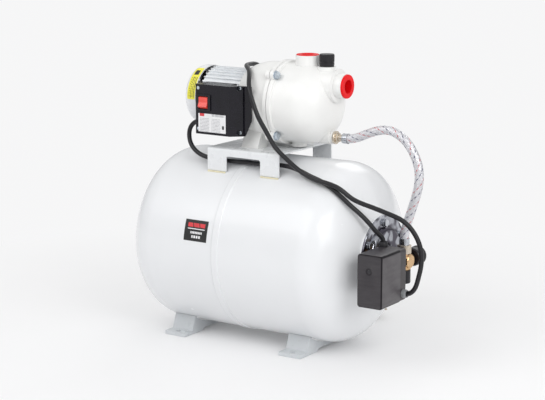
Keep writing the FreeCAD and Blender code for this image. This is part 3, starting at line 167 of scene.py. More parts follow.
# Metals
surface("motor_alu", (0.84, 0.86, 0.88), rough=0.40, metal=0.35, tone_scale=30, bump=0.3,
        bump_scale=900, stretch=(0.2, 1, 1), round_edge=0.0003,
        wear=0.2, wear_color=(0.6, 0.62, 0.65))
surface("dark_shield", (0.05, 0.045, 0.04), rough=0.5, metal=0.2, tone=0.3, tone_scale=50,
        bump=0.3)
surface("zinc", (0.54, 0.56, 0.60), rough=0.20, metal=1, tone=0.14, bump=0.14,
        rough_vary=0.09, round_edge=0.0006, wear=0.45, wear_color=(0.28, 0.30, 0.34))
surface("zinc_plate", (0.42, 0.43, 0.47), rough=0.14, metal=1, tone=0.22, tone_scale=30,
        bump=0.18, bump_scale=160, rough_vary=0.07, round_edge=0.0010,
        wear=0.35, wear_color=(0.22, 0.23, 0.27))
surface("bolt_zinc", (0.60, 0.66, 0.72), rough=0.28, metal=1, tone=0.10, tone_scale=140,
        bump=0.2, bump_scale=900, rough_vary=0.10, round_edge=0.0005,
        wear=0.5, wear_color=(0.35, 0.38, 0.42))
surface("brass", (0.66, 0.44, 0.24), rough=0.24, metal=1, tone=0.12, tone_scale=70,
        bump_scale=600, rough_vary=0.10, round_edge=0.0005,
        wear=0.5, wear_color=(0.46, 0.30, 0.17))
surface("nickel_brass", (0.62, 0.55, 0.46), rough=0.20, metal=1, tone=0.12, tone_scale=90,
        bump_scale=600, rough_vary=0.08, round_edge=0.0005,
        wear=0.5, wear_color=(0.58, 0.40, 0.22))
surface("steel", (0.55, 0.56, 0.58), rough=0.30, metal=1, tone=0.08, scratch=0.1)
surface("dark_screw", (0.05, 0.05, 0.055), rough=0.35, metal=0.6, tone=0.2, tone_scale=90,
        bump=0.2, bump_scale=900)
surface("copper", (0.62, 0.26, 0.12), rough=0.3, metal=1, tone=0.12, tone_scale=200,
        bump=0.5, bump_scale=1200)

# Plastics, rubber and ceramic
surface("box_black", (0.0060, 0.0052, 0.0095), rough=0.28, tone=0.25, bump=0.10,
        bump_scale=1100, round_edge=0.0016, specular=0.34)
surface("bezel_black", (0.008, 0.008, 0.011), rough=0.30, tone=0.2, bump_scale=900,
        round_edge=0.0008, specular=0.4)
surface("switch_black", (0.036, 0.030, 0.032), rough=0.36, tone=0.20, tone_scale=35, bump=0.3,
        rough_vary=0.08, round_edge=0.0030)
surface("gland_grey", (0.26, 0.27, 0.28), rough=0.45, tone=0.08, tone_scale=90, bump=0.2,
        bump_scale=900)
surface("cap_black", (0.010, 0.009, 0.012), rough=0.36, tone=0.2, tone_scale=90, bump=0.25,
        bump_scale=1000, round_edge=0.0008, specular=0.4)
surface("red_rocker", (0.80, 0.07, 0.05), rough=0.20, tone=0.08, tone_scale=80, bump=0.08,
        coat=0.4, round_edge=0.0006)
surface("red_plug", (0.80, 0.004, 0.008), rough=0.45, tone=0.06, tone_scale=70,
        bump_scale=800, round_edge=0.0006, specular=0.22)
surface("rubber", (0.02, 0.02, 0.02), rough=0.6, tone=0.2, tone_scale=90, bump=0.4,
        bump_scale=900)
surface("cable", (0.011, 0.0105, 0.013), rough=0.36, tone=0.2, bump=0.25, bump_scale=500,
        round_edge=0, specular=0.42)
surface("inner", (0.12, 0.12, 0.12), rough=0.5, tone=0.1, bump=0.2)
surface("ceramic", (0.8, 0.78, 0.72), rough=0.25, bump=0.1)
surface("dial", (0.85, 0.85, 0.82), rough=0.5, tone=0.03, bump=0.1)

# Weld beads
surface("bead", (0.78, 0.78, 0.78), rough=0.35, bump=0.6, bump_scale=350, bump_depth=0.0006,
        round_edge=0)
surface("bead_warm", (0.80, 0.74, 0.52), rough=0.35, tone=0.12, tone_scale=40, bump=0.6,
        bump_scale=350, bump_depth=0.0006, round_edge=0,
        wear=0.5, wear_color=(0.80, 0.79, 0.76))

# Sticker grounds and inks
surface("yellow", (0.86, 0.80, 0.07), rough=0.4, round_edge=0)
# Black print; the screw crosses also use it as painted shade
surface("ink_black", (0.02, 0.02, 0.02), rough=0.35, tone=0.2, bump=0.1, round_edge=0)
surface("ink_grey", (0.38, 0.38, 0.40), rough=0.45, tone=0.15, tone_scale=200, bump=0.1,
        round_edge=0)
surface("ink_red", (0.66, 0.05, 0.06), rough=0.4, tone=0.1, bump=0.1, round_edge=0)
surface("paper", (0.80, 0.80, 0.81), rough=0.42, tone=0.03, bump_scale=900, round_edge=0)

# Strands of the hose braid
surface("wire_silver", (0.74, 0.74, 0.77), rough=0.34, metal=0.7, tone=0.12, tone_scale=400,
        bump=0.3, bump_scale=2500, rough_vary=0.1, round_edge=0)
for wire, wire_color in (("wire_red", (0.56, 0.20, 0.21)), ("wire_blue", (0.13, 0.13, 0.19))):
    surface(wire, wire_color, rough=0.45, tone=0.15, tone_scale=300, bump=0.3,
            bump_scale=2500, round_edge=0)


def painted(name):
    """Tree, Principled node and base color socket of a finished surface."""
    tree = MATERIALS[name].node_tree
    bsdf = find_node(tree, "BSDF_PRINCIPLED")
    return tree, bsdf, bsdf.inputs["Base Color"].links[0].from_socket


def blacken_upper_glands():
    """Glands turn from grey to black between z = 0.19 and 0.20."""
    tree, bsdf, base = painted("gland_grey")
    position = node(tree, "SeparateXYZ", {0: node(tree, "TexCoord").outputs["Object"]})
    upper = remap(tree, position.outputs[2], span=(0.19, 0.20))
    set_inputs(tree, bsdf, {"Base Color": mix(tree, upper, base, (0.012, 0.011, 0.014))})


def add_flange_painted_reflections():
    """Painted reflection: light and dark wedges, standing in for the zinc's reflections, turn
    about the flange's axis, which is the tank's.
    """
    tree, bsdf, base = painted("zinc_plate")
    from_axis = node(tree, "VectorMath", {
        0: node(tree, "TexCoord").outputs["Object"], 1: (0, 0, TANK_AXIS_Z * MM)},
        operation="SUBTRACT").outputs[0]
    radial = node(tree, "VectorMath", {0: from_axis, 1: (0, 1, 1)},
                  operation="MULTIPLY").outputs[0]
    direction = node(tree, "VectorMath", {0: radial}, operation="NORMALIZE").outputs[0]
    distance = node(tree, "VectorMath", {0: radial}, operation="LENGTH").outputs["Value"]
    # The factor sets how quickly the wedges change with radius.
    depth = calculate(tree, "MULTIPLY", distance, 22.0)
    parts = node(tree, "SeparateXYZ", {0: direction}).outputs
    polar = node(tree, "CombineXYZ", {0: depth, 1: parts[1], 2: parts[2]}).outputs[0]
    wedges = noise(tree, polar, scale=2.1, detail=1, roughness=0.4)
    light = remap(tree, wedges, span=(0.42, 0.50))
    # The dark wedge colour is painted dark reflection; the light wedges keep the zinc's base
    # colour
    set_inputs(tree, bsdf, {"Base Color": mix(tree, light, (0.075, 0.07, 0.09), base)})
    # Fallback value only: the roughness noise stays linked.
    bsdf.inputs["Roughness"].default_value = 0.14


def make_clear_lens():
    tree, bsdf = principled("clear_lens")
    haze = noise(tree, coords(tree), scale=120)
    set_inputs(tree, bsdf, {
        "Base Color": (0.95, 0.97, 1), "Transmission Weight": 1.0, "IOR": 1.45,
        "Roughness": remap(tree, haze, span=(0.3, 0.7), to=(0.02, 0.07))})


def make_switch_shell():
    """Streaked black plastic with painted light: paler on the +X side as painted light from that
    side, darkest where the faces curve as painted dark reflection.
    """
    tree, bsdf = principled("switch_shell")
    facing = node(tree, "SeparateXYZ", {
        0: node(tree, "NewGeometry").outputs["True Normal"]}).outputs
    x, y, z = [calculate(tree, "ABSOLUTE", facing[axis]) for axis in range(3)]
    flatness = calculate(tree, "MAXIMUM", calculate(tree, "MAXIMUM", x, y), z)
    # flat is 0 where the faces curve; there the colour is painted dark reflection
    flat = remap(tree, flatness, span=(0.86, 0.995))
    plain = coords(tree)
    streaks = noise(tree, coords(tree, stretch=(1, 1, 5)), scale=30, detail=5, roughness=0.6)
    front = mix(tree, remap(tree, streaks, span=(0.32, 0.68)),
                (0.030, 0.0265, 0.031), (0.045, 0.040, 0.045))
    # The +X faces get a paler colour: painted light from that side
    side = mix(tree, remap(tree, streaks, span=(0.32, 0.68)),
               (0.066, 0.060, 0.066), (0.092, 0.085, 0.090))
    faces = mix(tree, remap(tree, facing[0], span=(0.90, 0.99)), front, side)
    uneven = noise(tree, plain, scale=60, detail=6, roughness=0.6)
    height = noise(tree, plain, scale=700, detail=6, roughness=0.6)
    relief = node(tree, "Bump", {"Strength": 0.3, "Distance": 0.0003, "Height": height})
    set_inputs(tree, bsdf, {
        "Base Color": mix(tree, flat, (0.006, 0.005, 0.007), faces),
        "Specular IOR Level": remap(tree, flat, span=(0, 1), to=(0.16, 0.46)),
        "Roughness": remap(tree, uneven, span=(0.25, 0.75), to=(0.26, 0.42)),
        "Normal": relief.outputs[0]})


blacken_upper_glands()
make_clear_lens()
add_flange_painted_reflections()
make_switch_shell()


# ------------------------------------------------------------------ CAD pieces
# Material: the pieces that wear it
LOOKS = {
    "white_paint": "tank_shell_left tank_shell_right",
    "foot_grey": "tank_foot_left tank_foot_right",
    "sheet_white": "pump_platform",
    "pump_white": "pump_body motor_bracket",
    "motor_alu": "motor_shell",
    "cover_white": "fan_cover",
    "zinc_plate": "tank_flange",
    "zinc": "flange_bolts hose_ferrules switch_lever",
    "bolt_zinc": "platform_bolts pump_body_bolts terminal_box_screws",
    "nickel_brass": "hose_nut hose_nipple",
    "dark_screw": "switch_cover_screw",
    "steel": "motor_shaft stator_core rotor drain_plug motor_bearings",
    "brass": "five_way_fitting air_valve hose_tail impeller gauge_stem",
    "box_black": "terminal_box terminal_box_cover",
    "bezel_black": "rocker_housing",
    "gland_grey": "cable_glands",
    "cap_black": "outlet_cap gauge_case filler_cap air_valve_cap cooling_fan run_capacitor",
    "switch_black": "switch_cover switch_base",
    "red_rocker": "rocker",
    "red_plug": "suction_plug discharge_plug",
    "dark_shield": "rear_shield",
    "rubber": "tank_membrane filler_cap_seal pump_gasket seal_ring switch_diaphragm"
              " braided_hose",
    "cable": "motor_cable supply_cable",
    "inner": "diffuser ejector",
    "ceramic": "seal_seat",
    "copper": "stator_windings",
    "dial": "gauge_dial",
    "ink_black": "gauge_needle",
    "clear_lens": "gauge_lens"}
PIECE_MATERIAL = {piece: look for look, pieces in LOOKS.items() for piece in pieces.split()}

# Bevel widths; the other pieces get split edges instead
BEVELS = {
    "terminal_box_cover": 1.4, "terminal_box": 0.9, "switch_cover": 2.2, "switch_base": 0.9,
    "rocker": 0.7, "rocker_housing": 0.7, "pump_platform": 0.5, "tank_foot_left": 0.9,
    "tank_foot_right": 0.9, "filler_cap": 0.35, "suction_plug": 0.3, "discharge_plug": 0.3,
    "pump_body_bolts": 0.35, "flange_bolts": 0.35, "hose_nut": 0.5, "five_way_fitting": 0.5,
    "gauge_case": 0.4, "tank_flange": 0.3}


def split_edges(piece):
    piece.modifiers.new("split", "EDGE_SPLIT").split_angle = SPLIT_ANGLE


def bevel_edges(piece, width):
    bevel = piece.modifiers.new("edge", "BEVEL")
    bevel.width = width * MM
    bevel.segments = 3
    bevel.limit_method = "ANGLE"
    bevel.angle_limit = math.radians(32)
    bevel.use_clamp_overlap = True
    bevel.miter_outer = "MITER_ARC"
    piece.modifiers.new("wn", "WEIGHTED_NORMAL").weight = 60


def dress(name, piece):
    """Smooth a CAD piece, give it its material and treat its edges."""
    mesh = piece.data
    for key in ("custom_normal", "sharp_face", "sharp_edge"):
        if key in mesh.attributes:
            mesh.attributes.remove(mesh.attributes[key])
    mesh.polygons.foreach_set("use_smooth", [True] * len(mesh.polygons))
    mesh.materials.clear()
    mesh.materials.append(MATERIALS[PIECE_MATERIAL[name]])
    piece.modifiers.new("weld", "WELD").merge_threshold = 0.00001
    if name in BEVELS:
        bevel_edges(piece, BEVELS[name])
    else:
        split_edges(piece)


for piece_name, cad_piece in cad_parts.items():
    dress(piece_name, cad_piece)


# --------------------------------------------------------------- mesh building
def link_mesh(name, vertices, faces, materials):
    mesh = bpy.data.meshes.new(name)
    mesh.from_pydata([tuple(vertex) for vertex in vertices], [], faces)
    for material in materials:
        mesh.materials.append(MATERIALS[material])
    made = bpy.data.objects.new(name, mesh)
    scene.collection.objects.link(made)
    return made


def add_piece(name, vertices, faces, *materials, smooth=True, slot=None, indices=None):
    """Add a mesh (vertices in metres) that rides with the set."""
    made = link_mesh(name, vertices, faces, materials)
    polygons = made.data.polygons
    if indices is not None:
        polygons.foreach_set("material_index", indices)
    polygons.foreach_set("use_smooth", [smooth] * len(polygons))
    made.data.update()
    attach(made, "set")
    return made


def grid_faces(rows, columns, close_rows=False, close_columns=False, first=0):
    """Quads over vertices stored row by row from index first."""
    faces = []
    for row in range(rows if close_rows else rows - 1):
        near = first + row * columns
        far = first + (row + 1) % rows * columns
        for column in range(columns if close_columns else columns - 1):
            after = (column + 1) % columns
            faces.append((near + column, near + after, far + after, far + column))
    return faces


def spline(points, spacing, start=None, end=None):
    """Cubic through points (mm), with optional end tangents.

    Returns samples about every spacing, and their distances along the curve, in metres.
    """
    knots = np.array(points, float) * MM
    chords = np.linalg.norm(np.diff(knots, axis=0), axis=1)
    count = len(knots)
    system = np.zeros((count, count))
    targets = np.zeros((count, 3))
    system[0, 0] = system[-1, -1] = 1
    targets[0] = start if start is not None else (knots[1] - knots[0]) / chords[0]
    targets[-1] = end if end is not None else (knots[-1] - knots[-2]) / chords[-1]
    for i in range(1, count - 1):
        before, after = chords[i - 1], chords[i]
        system[i, i - 1:i + 2] = after, 2 * (before + after), before
        targets[i] = 3 * (before * (knots[i + 1] - knots[i]) / after
                          + after * (knots[i] - knots[i - 1]) / before)
    slopes = np.linalg.solve(system, targets)
    fine = []
    for i, chord in enumerate(chords):
        steps = max(2, int(round(chord / (spacing * 0.25))))
        u = np.linspace(0, 1, steps, endpoint=False)[:, None]
        fine.append(knots[i] * (2 * u**3 - 3 * u**2 + 1) + knots[i + 1] * (3 * u**2 - 2 * u**3)
                    + slopes[i] * chord * (u**3 - 2 * u**2 + u)
                    + slopes[i + 1] * chord * (u**3 - u**2))
    fine = np.vstack(fine + [knots[-1:]])
    lengths = np.linalg.norm(np.diff(fine, axis=0), axis=1)
    travelled = np.concatenate([[0], np.cumsum(lengths)])
    samples = max(8, int(round(travelled[-1] / spacing)))
    along = np.linspace(0, travelled[-1], samples + 1)
    path = np.stack([np.interp(along, travelled, fine[:, axis]) for axis in range(3)], 1)
    return path, along


def path_frames(path):
    """Tangents, normals and binormals; the normal starts near +Y and doesn't twist."""
    tangents = np.gradient(path, axis=0)
    tangents /= np.linalg.norm(tangents, axis=1)[:, None]
    normals = np.zeros_like(path)
    carried = np.array((0.0, 1.0, 0.0))
    for i, tangent in enumerate(tangents):
        carried = carried - tangent * (carried @ tangent)
        carried = carried / np.linalg.norm(carried)
        normals[i] = carried
    return tangents, normals, np.cross(tangents, normals)


def tube(name, path, radius, material, segments, slot=None):
    """Capped tube along path; radius (metres) is one value or one per path point."""
    _, normals, binormals = path_frames(path)
    angles = np.linspace(0, 2 * math.pi, segments, endpoint=False)[:, None]
    radii = np.broadcast_to(radius, len(path))
    vertices = np.vstack([
        centre + size * (np.cos(angles) * normal + np.sin(angles) * binormal)
        for centre, size, normal, binormal in zip(path, radii, normals, binormals)])
    faces = grid_faces(len(path), segments, close_columns=True)
    faces.append(tuple(range(segments - 1, -1, -1)))
    faces.append(tuple((len(path) - 1) * segments + j for j in range(segments)))
    return add_piece(name, vertices, faces, material, slot=slot)


def lathe(name, profile, origin, material, segments, slot=None):
    """Turn a profile of (distance along +X, radius) about an axis through origin; all mm."""
    axis = Vector((1, 0, 0))
    normal = axis.orthogonal().normalized()
    binormal = axis.cross(normal)
    start = Vector([c * MM for c in origin])
    vertices = []
    for distance, radius in profile:
        for k in range(segments):
            angle = 2 * math.pi * k / segments
            outward = normal * math.cos(angle) + binormal * math.sin(angle)
            vertices.append(start + axis * (distance * MM) + outward * (radius * MM))
    faces = grid_faces(len(profile), segments, close_columns=True)
    add_piece(name, vertices, faces, material, slot=slot)


# ---------------------------------------------------------------------- cables
CABLE_RADIUS = 4.6
CABLE_SPACING = 4
# Stations (x, y, z) from the motor's terminal box to the pressure switch
MOTOR_LEAD = [
    (-92, -73, 440), (-104, -73, 440), (-119, -73.5, 436.5), (-130, -76, 425),
    (-131.5, -79, 410), (-125, -83, 394), (-109, -87, 380), (-90, -89, 372.5),
    (-60, -86, 367.5), (-30, -80, 366), (5, -77, 366.5), (38, -77, 366.5), (66, -79, 368),
    (90, -81, 369.5), (112, -82, 368.5), (137, -84, 363.5), (163, -90, 357),
    (190.5, -97.0, 351.7), (214.6, -98.1, 341.5), (234.1, -94.1, 326.7),
    (253.2, -88.2, 309.1), (270, -80, 293), (285, -70, 274), (296, -59, 256),
    (303.3, -50.8, 243), (304, -50, 232), (304, -50, 224)]
# Stations (x, y, z) from the pressure switch, over the pump, to the plug on the floor
SUPPLY_LEAD = [
    (343, -50, 143), (357.5, -50, 143), (369.5, -50, 150), (380, -49, 175), (386, -48, 209),
    (382, -48, 239), (370, -52, 265), (351, -58, 285), (325, -66, 297), (290, -76, 309),
    (254.3, -87.8, 323.8), (233.7, -97.6, 341.2), (193.1, -108.2, 354.1),
    (147.2, -101.5, 367.4), (116, -105, 390), (92, -104, 409), (69, -100, 436),
    (50, -98, 461), (36, -96.8, 489.5), (25.5, -93, 512), (12, -75, 533), (-5, -51, 546.5),
    (-24, -31, 551), (-34.5, -8, 551), (-38, 20, 549), (-41, 58, 530), (-48, 92, 490),
    (-56, 130, 430), (-62, 165, 370), (-66, 196, 290), (-66, 206, 200), (-62, 208, 110),
    (-46, 210, 45), (-20, 214, 20), (20, 220, 18), (60, 224, 18), (90, 225, 18)]
PLUG_AT = (88, 225, 18)
PIN_OFFSET = 9.5
# Profiles: (distance along the plug, radius)
PLUG_PROFILE = [
    (0, 4.7), (0, 6.0), (4, 6.5), (4.6, 5.6), (6.2, 5.6), (6.8, 6.9), (9, 7.2), (9.6, 6.4),
    (11, 6.4), (12, 7.8), (14, 8.2), (16, 13.5), (18.5, 16.6), (21, 17.5), (42.5, 17.5),
    (44.6, 16.9), (46, 15.2), (46, 7), (45.2, 6.8), (45.2, 0.01)]
PIN_PROFILE = [(44, 2.4), (62, 2.4), (64, 1.8), (65, 0.9), (65, 0.01)]


def add_cable(name, stations, start, end, replaced):
    path, _ = spline(stations, CABLE_SPACING * MM, start, end)
    cable = tube(name, path, CABLE_RADIUS * MM, "cable", segments=20, slot="cable_black")
    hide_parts(replaced)


add_cable("motor_lead", MOTOR_LEAD, (-1, 0, 0), (0, 0, -1), "motor_cable")
add_cable("supply_lead", SUPPLY_LEAD, (1, 0, 0), (1, 0, 0), "supply_cable")
lathe("supply_plug", PLUG_PROFILE, PLUG_AT, "cable", segments=64, slot="cable_black")
for k in (-1, 1):
    pin_at = (PLUG_AT[0], PLUG_AT[1] - k * PIN_OFFSET, PLUG_AT[2])
    lathe(f"supply_plug_pin_{k + 1}", PIN_PROFILE, pin_at, "nickel_brass", segments=24)

# ------------------------------------------------------------------- hose core
HOSE_SPACING = 1.8
HOSE_CORE_RADIUS = 8.0
# Stations (x, y, z): out along +X, over and down
HOSE = [
    (183.6, 0, 420), (195.6, 0, 420.15), (216, 0, 424.6), (240, 0, 434.6), (266, 0, 443),
    (288, 0, 444), (309, 0, 436), (327, 0, 421.5), (340, 0, 403), (349, 0, 382),
    (352, 0, 358), (348.5, 0, 333), (340, 0, 304), (331, 0, 278), (324.3, 0, 256),
    (322, 0, 238), (322, 0, 225.2)]
hose_path, hose_along = spline(HOSE, HOSE_SPACING * MM, (1, 0, 0), (0, 0, -1))
hose_core = tube("hose_core", hose_path[::2], HOSE_CORE_RADIUS * MM, "rubber", segments=20,
                 slot="rubber")
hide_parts("braided_hose")

# ---------------------------------------------------------------- switch cover
COVER_LEFT, COVER_RIGHT = 295.0, 349.0      # x
COVER_BOTTOM, COVER_TOP = 127.0, 230.0      # z
COVER_FRONT, COVER_BACK = -133.0, -62.0     # y
COVER_CORNER = 6.0          # corner radius seen from the front
COVER_EDGE = 3.6            # rounding between the front face and the sides
COVER_WALL = 2.2
CORNER_STEPS = 12
SIDE_STEPS = 16
EDGE_STEPS = 6
SEAT_X, SEAT_Z = 321.0, 198.0
SEAT_HOLE_RADIUS = 5.6
# Dished screw seat: (radius, depth behind the front face)
SEAT = [(SEAT_HOLE_RADIUS, 4.8), (3.15, 4.8), (3.15, 1.5), (4.2, 1.2), (6.2, 0.35), (7.0, 0)]


def cover_outline(inset, y):
    """Rounded rectangle, drawn in by inset, with points along its straight sides."""
    radius = COVER_CORNER - inset
    left, right = COVER_LEFT + COVER_CORNER, COVER_RIGHT - COVER_CORNER
    bottom, top = COVER_BOTTOM + COVER_CORNER, COVER_TOP - COVER_CORNER
    corners = []
    for x, z, first in ((right, top, 0), (left, top, 90), (left, bottom, 180),
                        (right, bottom, 270)):
        for k in range(CORNER_STEPS + 1):
            angle = math.radians(first + 90.0 * k / CORNER_STEPS)
            corners.append((x + radius * math.cos(angle), y, z + radius * math.sin(angle)))
    outline = []
    for k, here in enumerate(corners):
        outline.append(here)
        if k % (CORNER_STEPS + 1) == CORNER_STEPS:
            following = corners[(k + 1) % len(corners)]
            for t in range(1, SIDE_STEPS):
                outline.append(tuple(a + (b - a) * t / SIDE_STEPS
                                     for a, b in zip(here, following)))
    return outline


def add_switch_cover():
    """Moulded box, open at the back; its rings run from the seat round to the inside."""
    front = cover_outline(COVER_EDGE, COVER_FRONT)

    def seat_ring(radius, depth):
        """Circle about the screw, with its points in line with the front outline's."""
        angles = [math.atan2(z - SEAT_Z, x - SEAT_X) for x, _, z in front]
        return [(SEAT_X + radius * math.cos(angle), COVER_FRONT + depth,
                 SEAT_Z + radius * math.sin(angle)) for angle in angles]

    rings = [seat_ring(radius, depth) for radius, depth in SEAT] + [front]
    for k in range(1, EDGE_STEPS + 1):
        angle = math.radians(90 / EDGE_STEPS * k)
        rings.append(cover_outline(COVER_EDGE * (1 - math.sin(angle)),
                                   COVER_FRONT + COVER_EDGE * (1 - math.cos(angle))))
    for inset, y in ((0, COVER_FRONT + 20), (0, COVER_BACK - 2), (0, COVER_BACK),
                     (COVER_WALL, COVER_BACK), (COVER_WALL, COVER_FRONT + COVER_WALL)):
        rings.append(cover_outline(inset, y))
    rings.append(seat_ring(SEAT_HOLE_RADIUS, COVER_WALL))
    faces = grid_faces(len(rings), len(front), close_rows=True, close_columns=True)
    shell = add_piece("switch_cover_shell", np.vstack(rings) * MM, faces, "switch_shell")
    split_edges(shell)
    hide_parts("switch_cover")


add_switch_cover()

# ------------------------------------------------------------------ hose braid
STRANDS = 18                # in each winding direction
BRAID_PITCH = 78            # hose length per turn of a strand
BRAID_RADIUS = 8.3
WEAVE_HEIGHT = 0.2          # rise and fall of a strand at its crossings
STRAND_SCALE = 0.88         # mm across per unit of the section
# Strand section: (across in units, height in mm)
STRAND_SECTION = [(-1.15, -0.12), (-0.8, 0.22), (-0.4, 0.12), (0, 0.28), (0.4, 0.12),
                  (0.8, 0.22), (1.15, -0.12)]
# Colored strands of the first winding direction
MARKED_STRANDS = {2: "wire_blue", 11: "wire_blue", 6: "wire_red", 15: "wire_red"}


def add_braid(path, along):
    tangents, normals, binormals = path_frames(path)
    twist = 2 * math.pi / (BRAID_PITCH * MM)
    crossings = STRANDS * twist * along / math.pi
    strands = {"wire_silver": [], "wire_red": [], "wire_blue": []}
    for hand in (1, -1):
        radius = (BRAID_RADIUS + WEAVE_HEIGHT * hand * np.cos(math.pi / 2 * crossings)) * MM
        for k in range(STRANDS):
            angle = 2 * math.pi * k / STRANDS + hand * twist * along
            cosine, sine = np.cos(angle)[:, None], np.sin(angle)[:, None]
            outward = cosine * normals + sine * binormals
            around = -sine * normals + cosine * binormals
            heading = tangents + hand * twist * radius[:, None] * around
            heading /= np.linalg.norm(heading, axis=1)[:, None]
            side = np.cross(heading, outward)
            centre = path + radius[:, None] * outward
            ribbon = np.stack([
                centre + side * (across * STRAND_SCALE * MM) + outward * (height * MM)
                for across, height in STRAND_SECTION], 1)
            wire = MARKED_STRANDS.get(k, "wire_silver") if hand == 1 else "wire_silver"
            strands[wire].append(ribbon)
    for wire, ribbons in strands.items():
        vertices, faces = [], []
        for ribbon in ribbons:
            faces += grid_faces(*ribbon.shape[:2], first=len(vertices))
            vertices.extend(ribbon.reshape(-1, 3))
        add_piece("hose_" + wire, vertices, faces, wire, slot="braid")


add_braid(hose_path, hose_along)


# -------------------------------------------------------------------- stickers
def patch(name, point, columns, rows, pick, materials, keep=None):
    """Grid of cells for u, v in 0..1.

    point(u, v) is a place in mm, pick(u, v) a cell's material and keep(u, v) whether it
    is there.
    """
    vertices = [[c * MM for c in point(i / columns, j / rows)]
                for j in range(rows + 1) for i in range(columns + 1)]
    faces, indices = [], []
    for cell, face in enumerate(grid_faces(rows + 1, columns + 1)):
        u, v = (cell % columns + 0.5) / columns, (cell // columns + 0.5) / rows
        if keep is None or keep(u, v):
            faces.append(face)
            indices.append(materials.index(pick(u, v)))
    add_piece(name, vertices, faces, *materials, indices=indices)


def dashes(u, count, fill):
    """True on the inked part of count dashes across the sticker."""
    return (u * count) % 1 < fill


def tank_label_point(u, v):
    """Front of the tank."""
    x, z = -74.8 + 54.6 * u, 219 + 40.6 * v
    radius = TANK_RADIUS + STICKER_LIFT
    return x, -math.sqrt(radius * radius - (z - TANK_AXIS_Z) ** 2), z


def tank_label_ink(u, v):
    # Slanted red blocks, a white rule, then two rows of white dashes, downwards
    if 0.66 < v < 0.86 and 0.14 < u < 0.88 and abs((u * 3.6 + v * 0.9) % 1 - 0.5) < 0.44:
        return "ink_red"
    if 0.56 < v < 0.60 and 0.14 < u < 0.88:
        return "paper"
    if 0.36 < v < 0.45 and 0.26 < u < 0.78 and dashes(u, count=15, fill=0.78):
        return "paper"
    if 0.15 < v < 0.28 and 0.34 < u < 0.72 and dashes(u, count=9.5, fill=0.8):
        return "paper"
    return "ink_black"


def rating_plate_point(u, v):
    """Flat plate facing -Y."""
    return -90 + 66 * u, -104.25, 424 + 36.5 * v


def rating_plate_ink(u, v):
    # A red block and a dashed heading at the top
    if v > 0.84 and 0.05 < u < 0.22:
        return "ink_red"
    if v > 0.86 and 0.50 < u < 0.95:
        return "ink_grey" if dashes(u, count=30, fill=0.6) else "paper"
    # Ten rows of print in two columns, then a black block at the right
    row = int(v * 13)
    if 0.25 < (v * 13) % 1 < 0.65 and row < 10:
        if 0.05 < u < 0.40:
            return "ink_grey" if dashes(u, count=21 + row, fill=0.7) else "paper"
        if 0.48 < u < 0.80:
            return "ink_grey" if dashes(u, count=17 + 2 * row, fill=0.6) else "paper"
    if 0.86 < u < 0.94 and 0.22 < v < 0.40:
        return "ink_black"
    return "paper"


FAN_RIM_X = -129
FAN_RADIUS = 61.0
FAN_STRAIGHT = 13.0         # length of the cylindrical part
FAN_ROUNDING = 22.0         # radius between the cylinder and the end face
BAND_LENGTH, BAND_WIDTH, BAND_CORNER = 75, 20, 3


def band_point(u, v):
    """Fan cover surface: v = 1 is near the rim, and u turns from the top to the front."""
    distance = 1.2 + BAND_WIDTH * (1 - v)
    turn = 0.40 + 1.22 * u
    if distance < FAN_STRAIGHT:
        x, radius = FAN_RIM_X - distance, FAN_RADIUS + STICKER_LIFT
    else:
        bend = (distance - FAN_STRAIGHT) / FAN_ROUNDING
        reach = FAN_ROUNDING + STICKER_LIFT
        x = FAN_RIM_X - FAN_STRAIGHT - reach * math.sin(bend)
        radius = FAN_RADIUS - FAN_ROUNDING + reach * math.cos(bend)
    return x, -radius * math.sin(turn), MOTOR_AXIS_Z + radius * math.cos(turn)


def band_ink(u, v):
    # A black block, then four rows of print
    if 0.11 < u < 0.29 and 0.22 < v < 0.78:
        return "ink_black"
    row = int(v * 5.5)
    if (0.36 < u < 0.96 and 0.22 < (v * 5.5) % 1 < 0.72 and 0 < row < 5
            and dashes(u, count=13 + 3 * row, fill=0.72)):
        return "ink_black"
    return "yellow"


def inside_band(u, v):
    """Leaves out the cells beyond the rounded corners."""
    across = BAND_CORNER - min(u, 1 - u) * BAND_LENGTH
    up = BAND_CORNER - min(v, 1 - v) * BAND_WIDTH
    return not (across > 0 and up > 0 and across ** 2 + up ** 2 > BAND_CORNER ** 2)


patch("tank_label", tank_label_point, 66, 48, tank_label_ink,
      ["ink_black", "ink_red", "paper"])
patch("rating_plate", rating_plate_point, 96, 52, rating_plate_ink,
      ["paper", "ink_red", "ink_grey", "ink_black"])
patch("fan_cover_sticker", band_point, 96, 30, band_ink, ["yellow", "ink_black"], inside_band)

# ------------------------------------------------------------------ weld beads
BEAD_SPACING = 1.2
PLATFORM_WELDS = ((-72, -29), (54, 96))     # x from and to
PLATFORM_WELD_Y = 98.6
FOOT_X = 139
FOOT_WELD_OFFSET = 25.4     # from the foot's middle, along x
SEAM_X = -6.6
SEAM_STEPS, SEAM_SEGMENTS = 720, 8


def bead(name, points, radius, material):
    """Rippled bead, thin at both ends."""
    path, _ = spline(points, BEAD_SPACING * MM)
    radii = [radius * MM * (1 + 0.16 * math.sin(i * 1.35) + 0.10 * math.sin(i * 0.37 + 1))
             for i in range(len(path))]
    radii[0] = radii[-1] = radius * MM * 0.35
    tube(name, path, radii, material, segments=10)


def add_seam_weld():
    """Ring round the tank."""
    vertices = []
    for i in range(SEAM_STEPS):
        around = 2 * math.pi * i / SEAM_STEPS
        outward = np.array((0, math.sin(around), math.cos(around)))
        centre = np.array((SEAM_X, 0, TANK_AXIS_Z)) + (TANK_RADIUS + 0.5) * outward
        radius = 1.1 * (1 + 0.12 * math.sin(i * 1.9))
        for j in range(SEAM_SEGMENTS):
            angle = 2 * math.pi * j / SEAM_SEGMENTS
            offset = math.cos(angle) * np.array((1.0, 0, 0)) + math.sin(angle) * outward
            vertices.append((centre + radius * offset) * MM)
    faces = grid_faces(SEAM_STEPS, SEAM_SEGMENTS, close_rows=True, close_columns=True)
    add_piece("seam_weld", vertices, faces, "white_paint", slot="white_paint")


